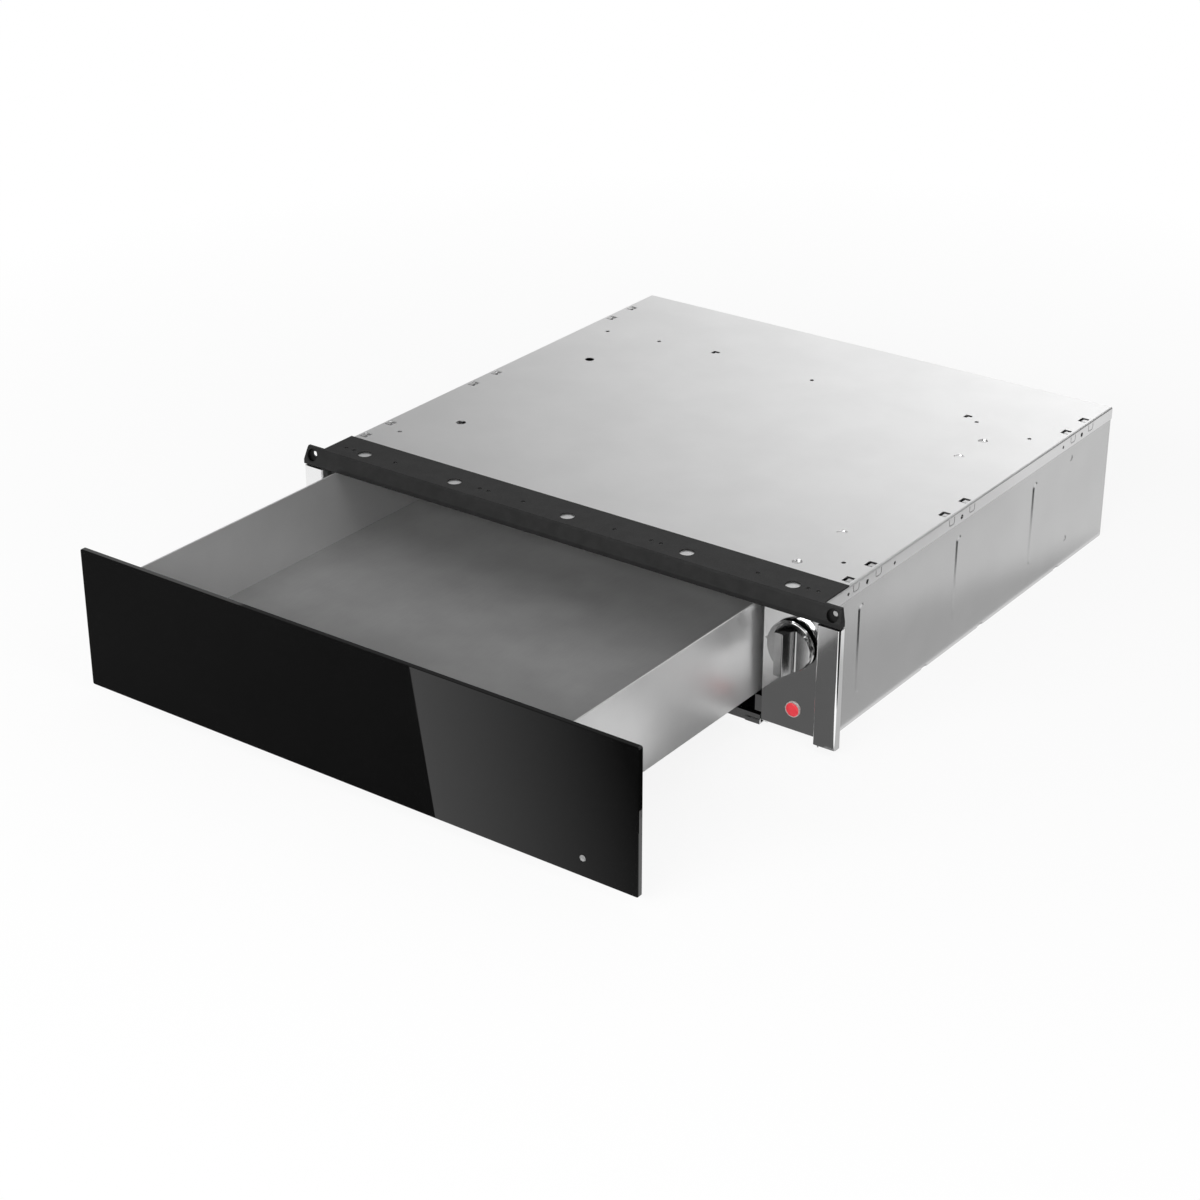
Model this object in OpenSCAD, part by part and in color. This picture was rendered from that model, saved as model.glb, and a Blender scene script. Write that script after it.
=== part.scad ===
// Built-in warming drawer: sheet-metal casing, push-to-open drawer with a black glass front,
// thermostat knob and pilot lamp behind the glass, heating element under the drawer floor.
// Millimetres. X points right, Y points to the back, Z points up.
// The origin is the middle of the casing's underside. The drawer is drawn part open.

/* [Casing] */
// Depth of the casing, front plane to back panel
casing_d = 537; // [525:1:620]
// Height of the casing, underside to top of cover
casing_h = 138.6; // [130:0.1:200]
// Thickness of the casing sheet
sheet_t = 1; // [0.8:0.1:1.4]
// Height of the cover's side flanges
cover_flange = 12; // [10:0.5:16]
// Width of the inward seam flanges of the side panels
seam_flange = 12; // [8:0.5:14]
// Outside bend radius of the folded sheets
bend_r = 2; // [1.6:0.1:3]

/* [Front frame] */
// Width over the two front posts and the ears of the top bracket
frame_w = 595; // [560:1:660]
// How far the front frame stands out beyond the casing on each side
frame_step = 20; // [18:0.5:24]
// Depth of the front posts in front of the casing
post_d = 7.5; // [6:0.5:8]
// Height of the posts' lower ends over the casing's underside
post_foot = 6.5; // [3:0.5:12]
// Height of the top bracket's front face
bracket_h = 17.2; // [16:0.1:22]
// Thickness of the bracket's sheet
bracket_t = 1.2; // [1:0.1:1.4]
// Depth of the bracket's top plate behind the casing's front plane
bracket_reach = 39; // [30:1:60]
// Lean of the bracket's front face, from its foot to its top
bracket_lean = 5; // [2:0.5:5.5]
// Diameter of the screw access holes in the ears
ear_access_hole = 11.8; // [10:0.1:13]
// Diameter of the screw holes in the ears' back walls
ear_screw_hole = 5.2; // [4:0.1:6.5]

/* [Control bay] */
// Width of the control bay, casing side to drawer bay
bay_w = 57.2; // [56:0.1:70]
// Distance of the knob's axis below the front bracket
knob_drop = 31.1; // [29:0.1:45]
// Distance of the knob's axis from the casing's inner side
knob_inset = 27.2; // [27:0.1:29]
// Diameter of the knob's grip drum
knob_d = 43; // [36:0.5:44]
// Height of the knob in front of the control panel
knob_reach = 25; // [21:0.5:25]
// Height of the pilot lamp over the underside
lamp_z = 29; // [22:0.5:45]
// Diameter of the pilot lamp's bezel
lamp_d = 14.4; // [12:0.1:18]

/* [Drawer] */
// How far the drawer stands open
drawer_open = 263.3; // [20:0.1:360]
// Gap between the drawer's right side and the control bay
drawer_gap_right = 5.6; // [5:0.1:9]
// Gap between the drawer's left side and the casing's inner side
drawer_gap_left = 16; // [13:0.5:20]
// Room behind the closed drawer for its latch
drawer_room = 92.5; // [90:0.5:110]
// Thickness of the drawer's sheet
drawer_t = 0.8; // [0.7:0.1:1]
// Height of the folded hem on the drawer's sides
hem_h = 5; // [3:0.5:10]
// Height of the skirt of the drawer's sides below its floor
skirt_h = 19.4; // [10:0.2:24]
// Clearance between the drawer's rim and the top bracket
rim_gap = 0.7; // [0.5:0.1:4]

/* [Glass front] */
// Width of the glass
glass_w = 595; // [560:1:660]
// Height of the glass
glass_h = 132.7; // [125:0.1:190]
// Thickness of the glass
glass_t = 5; // [4:0.5:6]
// Height of the glass's lower edge over the casing's underside
glass_foot = 9.1; // [4:0.1:14]
// Diameter of the lamp window in the glass
lens_d = 5.6; // [4:0.1:8]

/* [Slides] */
// Room behind the slides
slide_room = 78; // [66:1:90]
// Height of the slides' outer members
slide_h = 35; // [34:0.5:38]
// Distance of the slides from the drawer's sides
slide_inset = 29; // [26:0.5:40]
// Height of the slides' centre line over the underside
slide_z = 28; // [25:0.5:29]
// Diameter of the bearing balls
ball_d = 3.7; // [3.5:0.1:3.8]

/* [Heater] */
// Gap between the heater tray and the webs of the slides
heater_gap = 27.1; // [26:0.1:40]
// Room between the heater tray and the back panel
heater_room = 146; // [130:1:166]
// Distance of the heater tray from the casing's front plane
heater_from = 60; // [40:1:80]
// Height of the heater tray over the base plate
heater_lift = 26; // [18:0.5:28]
// Diameter of the heating element's sheath
element_d = 6.5; // [6:0.1:8.5]

/* [Hidden] */
$fn = 64;

// Length by which a cut runs past the faces that it leaves
over = 1;
// Clearance between moving neighbours
run_gap = 0.3;
// Radial clearance of a shaft or stem in its bearing
shaft_fit = 0.08;

// Casing planes
casing_w = frame_w - 2 * frame_step;
side_out = casing_w / 2 - sheet_t;
side_in = side_out - sheet_t;
roof_z = casing_h - sheet_t;
wall_back = casing_d - sheet_t;
flange_relief = 14;

// Hooked tabs that join cover and side panels: middle of each pair, and half its pitch
tab_shares = [0.129, 0.437, 0.878];
tab_half_pitch = 18.6;
tab_w = 10;
tab_drop = 9;
tab_groove = 0.9;
tab_corner = 2.5;
hook_slot_w = 8;
hook_slot_in = 3;
hook_w = 4.6;
hook_len = 5.5;
flange_hole = 4.6;
flange_hole_small = 3.2;
flange_small_shares = [0.071, 0.215, 0.806];
flange_hole_drop = 7.1;

// Holes in the cover's top, placed by shares of its depth and of half its width
small_hole = 4.2;
large_hole = 9.4;
dimple_d = 10;
dimple_deep = 0.6;
corner_hole_x = side_out * 0.9005;
corner_hole_front = casing_d * 0.1425;
corner_hole_back = casing_d * 0.7765;
row_hole_x = side_out * 0.6792;
row_hole_y = casing_d * 0.7905;
large_hole_x = side_out * 0.7797;
large_hole_front = casing_d * 0.2402;
large_hole_back = casing_d * 0.6322;
vent_hole_front = casing_d * 0.1024;
vent_hole_back = casing_d * 0.7197;
square_hole = 7.2;
square_tab = 3.4;
square_left_x = side_out * 0.4405;
square_right_x = side_out * 0.6297;
square_hole_y = casing_d * 0.8045;

// Stiffening beads and dimples of the side panels
bead_shares = [0.1188, 0.4367, 0.7117];
bead_w = 12;
bead_crown_w = 8.4;
bead_high = 0.95;
bead_inset = 0.3;
bead_low_z = 27;
bead_top_drop = 25.5;
panel_dimple_y = casing_d * 0.8467;
panel_dimple_d = 6;
panel_dimple_low = casing_h * 0.1977;
panel_dimple_high = casing_h * 0.8117;
foot_notch_shares = [0.338, 0.533, 0.818];
foot_notch_w = 9;
foot_notch_h = 2.4;

// Front frame
frame_out = frame_w / 2;
bracket_top = casing_h + bracket_t;
bracket_foot = bracket_top - bracket_h;
bracket_lip = 4;
bracket_lip_deep = 5;
bracket_big_hole = 13.6;
bracket_big_shares = [-1, -0.544, 0, 0.544, 1];
bracket_big_reach = frame_out * 0.7997;
bracket_big_y = 12.5;
bracket_small_hole = 3.6;
bracket_small_y = 14;
bracket_single_shares = [-1, -0.252, 0.252, 1];
bracket_single_reach = frame_out * 0.6783;
bracket_pair_shares = [-1, -0.3724, 0.3724, 1];
bracket_pair_reach = frame_out * 0.8649;
bracket_pair_half = 5;
post_gap = 2;
post_top = bracket_foot - post_gap;
post_lap = 1.5;
post_in = side_out - post_lap;
post_w = frame_out - post_in;
ear_hole_x = (side_out + frame_out) / 2 + sheet_t * 1.5;
ear_hole_z = bracket_foot + bracket_h * 0.56;
ear_lean = 2;
ear_lean_from = 5;

// Control bay
bay_left = side_in - bay_w;
panel_foot = 7.7;
panel_return = 12;
knob_x = side_in - knob_inset;
knob_z = bracket_foot - knob_drop;
knob_gap = 3;
knob_rim = 1.2;
knob_flange_d = knob_d + 2 * knob_rim;
knob_flange_t = 2;
knob_edge_t = 3.6;
knob_root_t = 6.9;
knob_root_w = 16.6;
knob_grip_w = 8.8;
knob_taper = 1.1;
knob_nub = 2.8;
shaft_d = 6;
shaft_flat = 1.5;
shaft_in = 8;
shaft_grip = 12;
shaft_panel_hole = 9;
lamp_offset = 1.8;
lamp_x = knob_x + lamp_offset;
lamp_hole = 12.2;
lamp_body_d = 11.6;
lamp_body_len = 24;
lamp_bezel_t = 1.2;
lamp_rim = 0.8;
lamp_lens_d = lamp_d - 2 * lamp_rim;
lamp_lens_t = 2.6;
lamp_seat_t = 0.4;
thermostat_w = 36;
thermostat_deep = 24;
thermostat_plate_t = 2;
partition_room = 56;
partition_end = wall_back - partition_room;
partition_x = bay_left + sheet_t;
wing_low = 15;
wing_high = 30.5;
wing_w = 8;
wing_from = 2;

// Drawer, in the closed position
glass_gap = 20;
glass_back = -post_d - glass_gap;
tape_t = 1;
carrier_deep = 7;
wall_front = glass_back + tape_t + carrier_deep;
drawer_end = wall_back - drawer_room;
drawer_right = bay_left - drawer_gap_right;
drawer_left = -side_in + drawer_gap_left;
drawer_mid = (drawer_left + drawer_right) / 2;
drawer_half = (drawer_right - drawer_left) / 2;
rim_z = bracket_foot - rim_gap;
runner_t = 1.2;
floor_gap = 4.5;
floor_under = slide_z + slide_h / 2 + floor_gap + runner_t;
floor_z = floor_under + drawer_t;
skirt_foot = floor_z - skirt_h;
wall_in = drawer_half - 2 * drawer_t;
drawer_back_drop = 10;
push_in = 2;
lens_offset = 4.2;
lens_drop = 3.3;
lens_x = knob_x - lens_offset;
lens_z = lamp_z - lens_drop;
lens_proud = 1.5;
lens_flange_d = 8;

// Slides: sections measured from the outer member's web, towards the drawer's middle
slide_half = drawer_half - slide_inset;
slide_t = 1.2;
slide_from = 8;
slide_len = wall_back - slide_room - slide_from;
ball_play = 0.6;
race_gap = ball_d + ball_play;
web_gap = 1;
mid_web = slide_t + web_gap;
outer_lip = 10;
mid_half = slide_h / 2 - slide_t - race_gap;
mid_lip = 11.5;
inner_half = mid_half - slide_t - race_gap;
inner_web = 10.5;
inner_lip = 4.6;
cage_t = 0.4;
cage_len = 90;
ball_pitch = 14;
ball_count = 6;
ball_reach = 7;
cage_rim = 1.9;
foot_t = 1.5;
foot_w = 14;
bracket_web_t = 1.5;

// Heater
heater_w = 2 * (slide_half - heater_gap);
heater_len = wall_back - heater_room - heater_from;
tray_top = sheet_t + heater_lift;
element_rise = 2.8;
element_z = tray_top + element_d / 2 + element_rise;
run_pitch = heater_w * 0.2333;
run_front = 45;
run_back = 70;
cold_end = 20;
cold_d = 8;
pin_d = 3;
pin_len = 9;
clip_w = 12;
clip_t = 4;
clip_cap = 2;
clip_gap = 0.1;
cutout_d = 16;
cutout_h = 8;
blade_w = 6.3;
blade_t = 0.8;
blade_len = 8;
bulb_d = 6;
capillary_d = 2;
bulb_gap = 6;
bulb_tail = 10;
bulb_x_share = 1.5;
capillary_gap = 6;
capillary_run = partition_end + capillary_gap;
bulb_from = heater_from + heater_len + bulb_gap;
bulb_len = capillary_run - bulb_tail - bulb_from;

// Terminal block, gland and screws
block_w = 30;
block_len = 26;
block_h = 18;
block_room = 106;
block_from = wall_back - block_room;
block_x = (bay_left + 2 * sheet_t + side_in - block_w) / 2;
gland_inset = 28;
gland_x = side_in - gland_inset;
gland_z = 42;
gland_hole = 16.2;
gland_d = 16;
gland_flange_d = 22;
gland_flange_t = 3;
gland_bore = 9;
gland_in = 9;
screw_d = 3;
screw_hole = 3.3;
screw_head_d = 7;
screw_head_t = 2.2;
screw_len = 7;
back_screw_shares = [0.16, 0.84];
back_slot_w = 3;
back_slot_h = 30;
back_slot_pitch = 8;
back_slots = 5;

// Push latch
latch_w = 26;
latch_h = 22;
latch_len = 62;
latch_z = 78;
stem_d = 8;
stem_len = 58;
tip_d = 12;
tip_t = 3;
magnet_t = 2;
magnet_d = 10;
striker_d = 14;
striker_t = 1.5;
latch_gap = 0.5;
tip_y = drawer_end + push_in + striker_t + latch_gap;
stem_end = tip_y + magnet_t + tip_t + stem_len;
spring_d = 6.6;
spring_wire = 0.8;
spring_turns = 9;
spring_sides = 6;
spring_steps = 8;

// A box between two corners
module block(low, high) {
    translate(low) cube(high - low);
}

// Round bars along each axis, between two stations
module bar_x(d, x0, x1, y, z) {
    translate([x0, y, z]) rotate([0, 90, 0]) cylinder(d = d, h = x1 - x0);
}

module bar_y(d, x, y0, y1, z) {
    translate([x, y0, z]) rotate([-90, 0, 0]) cylinder(d = d, h = y1 - y0);
}

module bar_z(d, x, y, z0, z1) {
    translate([x, y, z0]) cylinder(d = d, h = z1 - z0);
}

// Rectangle with round corners, its lower left corner at the origin
module round_rect(w, h, r) {
    translate([r, 0]) square([w - 2 * r, h]);
    translate([0, r]) square([w, h - 2 * r]);
    for (x = [r, w - r], y = [r, h - r]) translate([x, y]) circle(r);
}

// Section of a folded channel: the web lies on the X axis and the lips rise from it
module channel(w, lip, t, r) {
    difference() {
        round_rect(w, 2 * lip, r);
        translate([t, t]) round_rect(w - 2 * t, 2 * lip, r - t);
        translate([-over, lip]) square([w + 2 * over, lip + over]);
    }
}

// Stadium-shaped plate along Y, standing across X
module slot_x(x0, x1, y, z0, z1, w) {
    block([x0, y - w / 2, z0 + w / 2], [x1, y + w / 2, z1 - w / 2]);
    bar_x(w, x0, x1, y, z0 + w / 2);
    bar_x(w, x0, x1, y, z1 - w / 2);
}

// Everything is drawn from the casing's front plane, so Y counts from there to the back
module at_front() {
    translate([0, -casing_d / 2, 0]) children();
}

// The parts that travel with the drawer, by a share of its travel
module opened(share) {
    at_front() translate([0, -drawer_open * share, 0]) children();
}

// Square corner of a bar along Y, less the round that stays
module corner_cut(x, z, r, y0, y1) {
    difference() {
        block([x - r, y0 - over, z - r], [x + over, y1 + over, z + over]);
        bar_y(2 * r, x - r, y0 - 2 * over, y1 + 2 * over, z - r);
    }
}

// A right-hand and a left-hand copy about the drawer's middle
module drawer_pair(side) {
    translate([drawer_mid, 0, 0]) mirror([side < 0 ? 1 : 0, 0, 0]) children();
}

module handed(side) {
    mirror([side < 0 ? 1 : 0, 0, 0]) children();
}

// Stations of the six hooked tabs along one side
function tab_stations() =
    [for (share = tab_shares, step = [-1, 1]) casing_d * share + step * tab_half_pitch];

// U-shaped groove round one hooked tab, cut through the cover's side flange
module tab_groove_cut(y) {
    low = casing_h - tab_drop;
    difference() {
        translate([side_out - over, y - tab_w / 2, low])
            rotate([90, 0, 90])
                linear_extrude(sheet_t + 2 * over) round_rect(tab_w, tab_drop + tab_corner, tab_corner);
        translate([side_out - 2 * over, y - tab_w / 2 + tab_groove, low + tab_groove])
            rotate([90, 0, 90])
                linear_extrude(sheet_t + 4 * over)
                    round_rect(tab_w - 2 * tab_groove, tab_drop + tab_corner, tab_corner - tab_groove);
        block([side_out - 2 * over, y - tab_w, casing_h - bend_r],
            [side_out + sheet_t + 2 * over, y + tab_w, casing_h + 2 * over + tab_corner]);
    }
}

// Slot in the cover's top for the hook of one tab
module hook_slot_cut(y) {
    right = side_out - hook_slot_in;
    block([right - hook_slot_w, y - tab_w / 2, roof_z - over], [right, y + tab_w / 2, casing_h + over]);
}

module cover_side_cuts() {
    for (y = tab_stations()) {
        tab_groove_cut(y);
        hook_slot_cut(y);
    }
    for (share = tab_shares)
        bar_x(flange_hole, side_out - over, side_out + sheet_t + over, casing_d * share,
            casing_h - flange_hole_drop);
    for (share = flange_small_shares)
        bar_x(flange_hole_small, side_out - over, side_out + sheet_t + over, casing_d * share,
            casing_h - flange_hole_drop);
}

module cover_hole(d, x, y) {
    bar_z(d, x, y, roof_z - over, casing_h + over);
}

// Square hole with a small tab left in one corner
module square_cut(x, y) {
    half = square_hole / 2;
    difference() {
        block([x - half, y - half, roof_z - over], [x + half, y + half, casing_h + over]);
        block([x + half - square_tab, y - half - over, roof_z - 2 * over],
            [x + half + over, y - half + square_tab, casing_h + 2 * over]);
    }
}

module top_cover() {
    color("silver") at_front() difference() {
        translate([-casing_w / 2, casing_d, casing_h])
            rotate([90, 0, 0])
                linear_extrude(casing_d) mirror([0, 1]) channel(casing_w, cover_flange, sheet_t, bend_r);
        for (side = [-1, 1]) handed(side) cover_side_cuts();
        for (side = [-1, 1]) {
            cover_hole(small_hole, side * corner_hole_x, corner_hole_front);
            cover_hole(small_hole, side * corner_hole_x, corner_hole_back);
            cover_hole(small_hole, side * row_hole_x, row_hole_y);
        }
        cover_hole(small_hole, 0, row_hole_y);
        cover_hole(large_hole, -large_hole_x, large_hole_front);
        cover_hole(large_hole, -large_hole_x, large_hole_back);
        cover_hole(large_hole, large_hole_x, vent_hole_front);
        cover_hole(large_hole, large_hole_x, vent_hole_back);
        for (y = [large_hole_front, large_hole_back])
            bar_z(dimple_d, large_hole_x, y, casing_h - dimple_deep, casing_h + over);
        square_cut(-square_left_x, square_hole_y);
        square_cut(square_right_x, square_hole_y);
    }
}

// One stiffening bead as a long ridge with sloping flanks and round ends, standing on the plane at x
module bead_ridge(x, y, inset) {
    low = bead_low_z + bead_w / 2;
    top = casing_h - bead_top_drop - bead_w / 2;
    foot = bead_w / 2 - inset;
    crown = bead_crown_w / 2 - inset;
    translate([x, y, low]) linear_extrude(top - low)
        polygon([[0, -foot], [bead_high, -crown], [bead_high, crown], [0, foot]]);
    for (z = [low, top]) translate([x, y, z]) rotate([0, 90, 0])
        cylinder(r1 = foot, r2 = crown, h = bead_high);
}

// Hollow behind one bead
module bead_hollow(y) {
    bead_ridge(side_in, y, bead_inset);
    slot_x(side_in - over, side_in, y, bead_low_z + bead_inset, casing_h - bead_top_drop - bead_inset,
        bead_w - 2 * bead_inset);
}

// Windows in the top seam flange that leave only the hook under a slot of the cover
module hook_window_cut(y) {
    right = side_out - hook_slot_in;
    hook_end = y - tab_w / 2 + tab_groove + hook_len;
    block([right - hook_slot_w, y - tab_w / 2, roof_z - sheet_t - over],
        [right - hook_w, y + tab_w / 2, roof_z + over]);
    block([right - hook_w - over, hook_end, roof_z - sheet_t - over], [right, y + tab_w / 2, roof_z + over]);
}

// The hooks of the right side stand in open windows of its top seam flange
module side_panel(windows) {
    inner = side_in - seam_flange;
    difference() {
        union() {
            block([side_in, 0, 0], [side_out, wall_back, roof_z]);
            block([inner, flange_relief, roof_z - sheet_t], [side_in, wall_back - flange_relief, roof_z]);
            block([inner, flange_relief, sheet_t], [side_in, wall_back - flange_relief, 2 * sheet_t]);
            block([inner, wall_back - sheet_t, flange_relief], [side_in, wall_back, roof_z - flange_relief]);
            block([side_out, 0, post_foot], [frame_out - sheet_t, sheet_t, post_top]);
            for (y = tab_stations())
                block([side_out - hook_slot_in - hook_w, y - tab_w / 2 + tab_groove, roof_z - sheet_t],
                    [side_out - hook_slot_in, y - tab_w / 2 + tab_groove + hook_len, casing_h]);
            for (share = bead_shares) bead_ridge(side_out, casing_d * share, 0);
        }
        corner_cut(side_out, roof_z, bend_r - sheet_t, 0, wall_back);
        for (share = bead_shares) bead_hollow(casing_d * share);
        if (windows) for (y = tab_stations()) hook_window_cut(y);
        for (share = tab_shares)
            bar_x(flange_hole, side_in - over, side_out + over, casing_d * share,
                casing_h - flange_hole_drop);
        for (share = flange_small_shares)
            bar_x(flange_hole_small, side_in - over, side_out + over, casing_d * share,
                casing_h - flange_hole_drop);
        for (z = [panel_dimple_low, panel_dimple_high])
            bar_x(panel_dimple_d, side_out - dimple_deep, side_out + over, panel_dimple_y, z);
        for (share = foot_notch_shares)
            block([side_in - over, casing_d * share - foot_notch_w / 2, -over],
                [side_out + over, casing_d * share + foot_notch_w / 2, foot_notch_h]);
        for (share = back_screw_shares)
            bar_y(screw_hole, side_in - seam_flange / 2, wall_back - 2 * sheet_t, wall_back + over,
                casing_h * share);
    }
}

module side_panel_left() {
    color("silver") at_front() handed(-1) side_panel(false);
}

module side_panel_right() {
    color("silver") at_front() side_panel(true);
}

// Floor of the casing. Below the drawer it steps up to a shelf with an upturned front edge,
// and below the control panel it starts farther back.
front_lip = 12.5;
shelf_z = 3.8;
shelf_deep = 12;
bay_relief = 18;
foot_tab_w = 15;
foot_tab_h = 4;
module base_plate() {
    right = bay_left - sheet_t;
    color("silver") at_front() {
        block([-side_in, shelf_deep, 0], [right, wall_back, sheet_t]);
        block([right, bay_relief, 0], [side_in, wall_back, sheet_t]);
        block([-side_in, shelf_deep, 0], [right, shelf_deep + sheet_t, shelf_z + sheet_t]);
        block([-side_in, 0, shelf_z], [right, shelf_deep + sheet_t, shelf_z + sheet_t]);
        block([-side_in, 0, shelf_z], [right, sheet_t, front_lip]);
        block([right - foot_tab_w, -sheet_t, shelf_z], [right, 0, shelf_z + foot_tab_h]);
    }
}

module back_panel() {
    slots_from = side_in - bay_w + sheet_t * 4;
    color("silver") at_front() difference() {
        translate([-side_out, casing_d, 0])
            rotate([90, 0, 0]) linear_extrude(sheet_t) round_rect(2 * side_out, roof_z, bend_r - sheet_t);
        bar_y(gland_hole, gland_x, wall_back - over, casing_d + over, gland_z);
        for (side = [-1, 1], share = back_screw_shares)
            bar_y(screw_hole, side * (side_in - seam_flange / 2), wall_back - over, casing_d + over,
                casing_h * share);
        for (i = [0 : back_slots - 1]) translate([slots_from + i * back_slot_pitch, 0, casing_h / 2])
            block([0, wall_back - over, 0], [back_slot_w, casing_d + over, back_slot_h]);
    }
}

// Section of the bracket: a lip at the foot, a leaning face and a level top plate
module bracket_section(reach) {
    foot_y = -post_d;
    top_y = foot_y + bracket_lean;
    crown = bracket_top - bend_r;
    polygon([
        [foot_y, bracket_foot],
        [foot_y, bracket_foot + bracket_lip],
        [top_y - bracket_t, crown],
        [top_y, bracket_top],
        [reach, bracket_top],
        [reach, bracket_top - bracket_t],
        [top_y + bracket_t / 2, bracket_top - bracket_t],
        [top_y, crown - bracket_t],
        [foot_y + bracket_t, bracket_foot + bracket_lip],
        [foot_y + bracket_t, bracket_foot + bracket_t],
        [foot_y + bracket_lip_deep, bracket_foot + bracket_t],
        [foot_y + bracket_lip_deep, bracket_foot]]);
}

// Section along X: the profile is drawn in Y and Z
module along_x(x0, x1) {
    translate([x0, 0, 0]) rotate([90, 0, 90]) linear_extrude(x1 - x0) children();
}

module bracket_hole(d, x, y) {
    bar_z(d, x, y, casing_h - over, bracket_top + over);
}

// Closed section of an ear, or of its hollow when moved inward by the sheet
module ear_section(inset) {
    foot_y = -post_d + inset;
    top_y = -post_d + bracket_lean;
    polygon([
        [foot_y, bracket_foot + inset],
        [foot_y, bracket_foot + bracket_lip],
        [top_y - bracket_t + inset, bracket_top - bend_r],
        [top_y + inset / 3, bracket_top - inset],
        [-inset, bracket_top - inset],
        [-inset, bracket_foot + inset]]);
}

// One ear up to its outer end, which is upright at the foot and leans inward above
module ear_body(inset, from) {
    end = frame_out - inset;
    intersection() {
        along_x(from, end) ear_section(inset);
        translate([0, over, 0]) rotate([90, 0, 0]) linear_extrude(post_d + 2 * over)
            polygon([
                [from - over, bracket_foot - over],
                [end, bracket_foot - over],
                [end, bracket_foot + ear_lean_from],
                [end - ear_lean, bracket_top],
                [from - over, bracket_top + over]]);
    }
}

module ear() {
    difference() {
        ear_body(0, casing_w / 2);
        ear_body(bracket_t, casing_w / 2 - over);
        bar_y(ear_access_hole, ear_hole_x, -post_d - over, -2 * bracket_t, ear_hole_z);
        bar_y(ear_screw_hole, ear_hole_x, -2 * bracket_t - over, over, ear_hole_z);
    }
}

module top_bracket() {
    color("#26272a") at_front() {
        difference() {
            along_x(-casing_w / 2, casing_w / 2) bracket_section(bracket_reach);
            for (share = bracket_big_shares)
                bracket_hole(bracket_big_hole, share * bracket_big_reach, bracket_big_y);
            for (share = bracket_single_shares)
                bracket_hole(bracket_small_hole, share * bracket_single_reach, bracket_small_y);
            for (share = bracket_pair_shares, step = [-1, 1])
                bracket_hole(bracket_small_hole, share * bracket_pair_reach + step * bracket_pair_half,
                    bracket_small_y);
        }
        for (side = [-1, 1]) handed(side) ear();
    }
}

module front_post() {
    translate([post_in, -post_d, post_foot])
        linear_extrude(post_top - post_foot) channel(post_w, post_d, sheet_t, bend_r);
}

module front_post_left() {
    color("gainsboro") at_front() handed(-1) front_post();
}

module front_post_right() {
    color("gainsboro") at_front() front_post();
}

module control_panel() {
    color("gainsboro") at_front() difference() {
        union() {
            along_x(bay_left, side_in)
                translate([0, roof_z])
                    rotate(-90) channel(roof_z - panel_foot, panel_return, sheet_t, bend_r);
            block([bay_left, sheet_t, panel_foot + bend_r], [partition_x, panel_return, roof_z - bend_r]);
        }
        bar_y(shaft_panel_hole, knob_x, -over, sheet_t + over, knob_z);
        bar_y(lamp_hole, lamp_x, -over, sheet_t + over, lamp_z);
    }
}

// Wall between drawer bay and control bay, with a short wing towards the drawer
module bay_partition() {
    right = partition_x + sheet_t;
    color("silver") at_front() {
        block([partition_x, panel_return + sheet_t, sheet_t], [right, partition_end, roof_z]);
        block([right, panel_return + sheet_t, sheet_t], [right + seam_flange, partition_end, 2 * sheet_t]);
        block([partition_x - seam_flange, panel_return + sheet_t, roof_z - sheet_t],
            [partition_x, partition_end, roof_z]);
        block([bay_left - wing_w, wing_from, wing_low], [bay_left, wing_from + sheet_t, wing_high]);
        block([bay_left - sheet_t, wing_from, wing_low],
            [bay_left, panel_return + 2 * sheet_t, wing_high]);
        block([bay_left - sheet_t, panel_return + sheet_t, wing_low],
            [partition_x, panel_return + 2 * sheet_t, wing_high]);
    }
}

module insulation_pad() {
    edge = heater_w / 2 - bend_r;
    color("khaki") at_front() translate([drawer_mid, 0, 0])
        block([-edge, heater_from, sheet_t], [edge, heater_from + heater_len, tray_top - sheet_t]);
}

module heater_tray() {
    half = heater_w / 2;
    color("lightsteelblue") at_front() translate([drawer_mid, 0, 0]) {
        translate([-half, heater_from + heater_len, tray_top])
            rotate([90, 0, 0])
                linear_extrude(heater_len) mirror([0, 1]) channel(heater_w, heater_lift, sheet_t, bend_r);
    }
}

// Half ring of the heating element's sheath, opening to the front or the back
module element_bend(x, y, facing) {
    translate([x, y, 0]) rotate(facing < 0 ? 180 : 0)
        rotate_extrude(angle = 180, $fn = 64) translate([run_pitch / 2, 0]) circle(d = element_d, $fn = 24);
}

element_front = heater_from + run_front + run_pitch / 2;
element_rear = heater_from + heater_len - run_back - run_pitch / 2;
element_end = heater_from + heater_len - run_back;

module heating_element() {
    color("dimgray") at_front() translate([drawer_mid, 0, element_z]) {
        for (step = [-1.5, 1.5])
            bar_y(element_d, step * run_pitch, element_front, element_end, 0);
        for (step = [-0.5, 0.5])
            bar_y(element_d, step * run_pitch, element_front, element_rear, 0);
        for (step = [-1, 1]) element_bend(step * run_pitch, element_front, -1);
        element_bend(0, element_rear, 1);
        for (step = [-1.5, 1.5]) {
            bar_y(cold_d, step * run_pitch, element_end, element_end + cold_end, 0);
            bar_y(pin_d, step * run_pitch, element_end + cold_end, element_end + cold_end + pin_len, 0);
        }
    }
}

// Saddle round a straight bar along Y, standing on the tray
module saddle(x, y, d, low, axis_z) {
    difference() {
        block([x - clip_w / 2, y - clip_t / 2, low], [x + clip_w / 2, y + clip_t / 2, axis_z + d / 2 + clip_cap]);
        bar_y(d + 2 * clip_gap, x, y - clip_t, y + clip_t, axis_z);
    }
}

module heater_clips() {
    color("darkgray") at_front() translate([drawer_mid, 0, 0])
        for (step = [-1.5, -0.5, 0.5, 1.5], y = [element_front + clip_w, element_rear - clip_w])
            saddle(step * run_pitch, y, element_d, tray_top, element_z);
}

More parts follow.
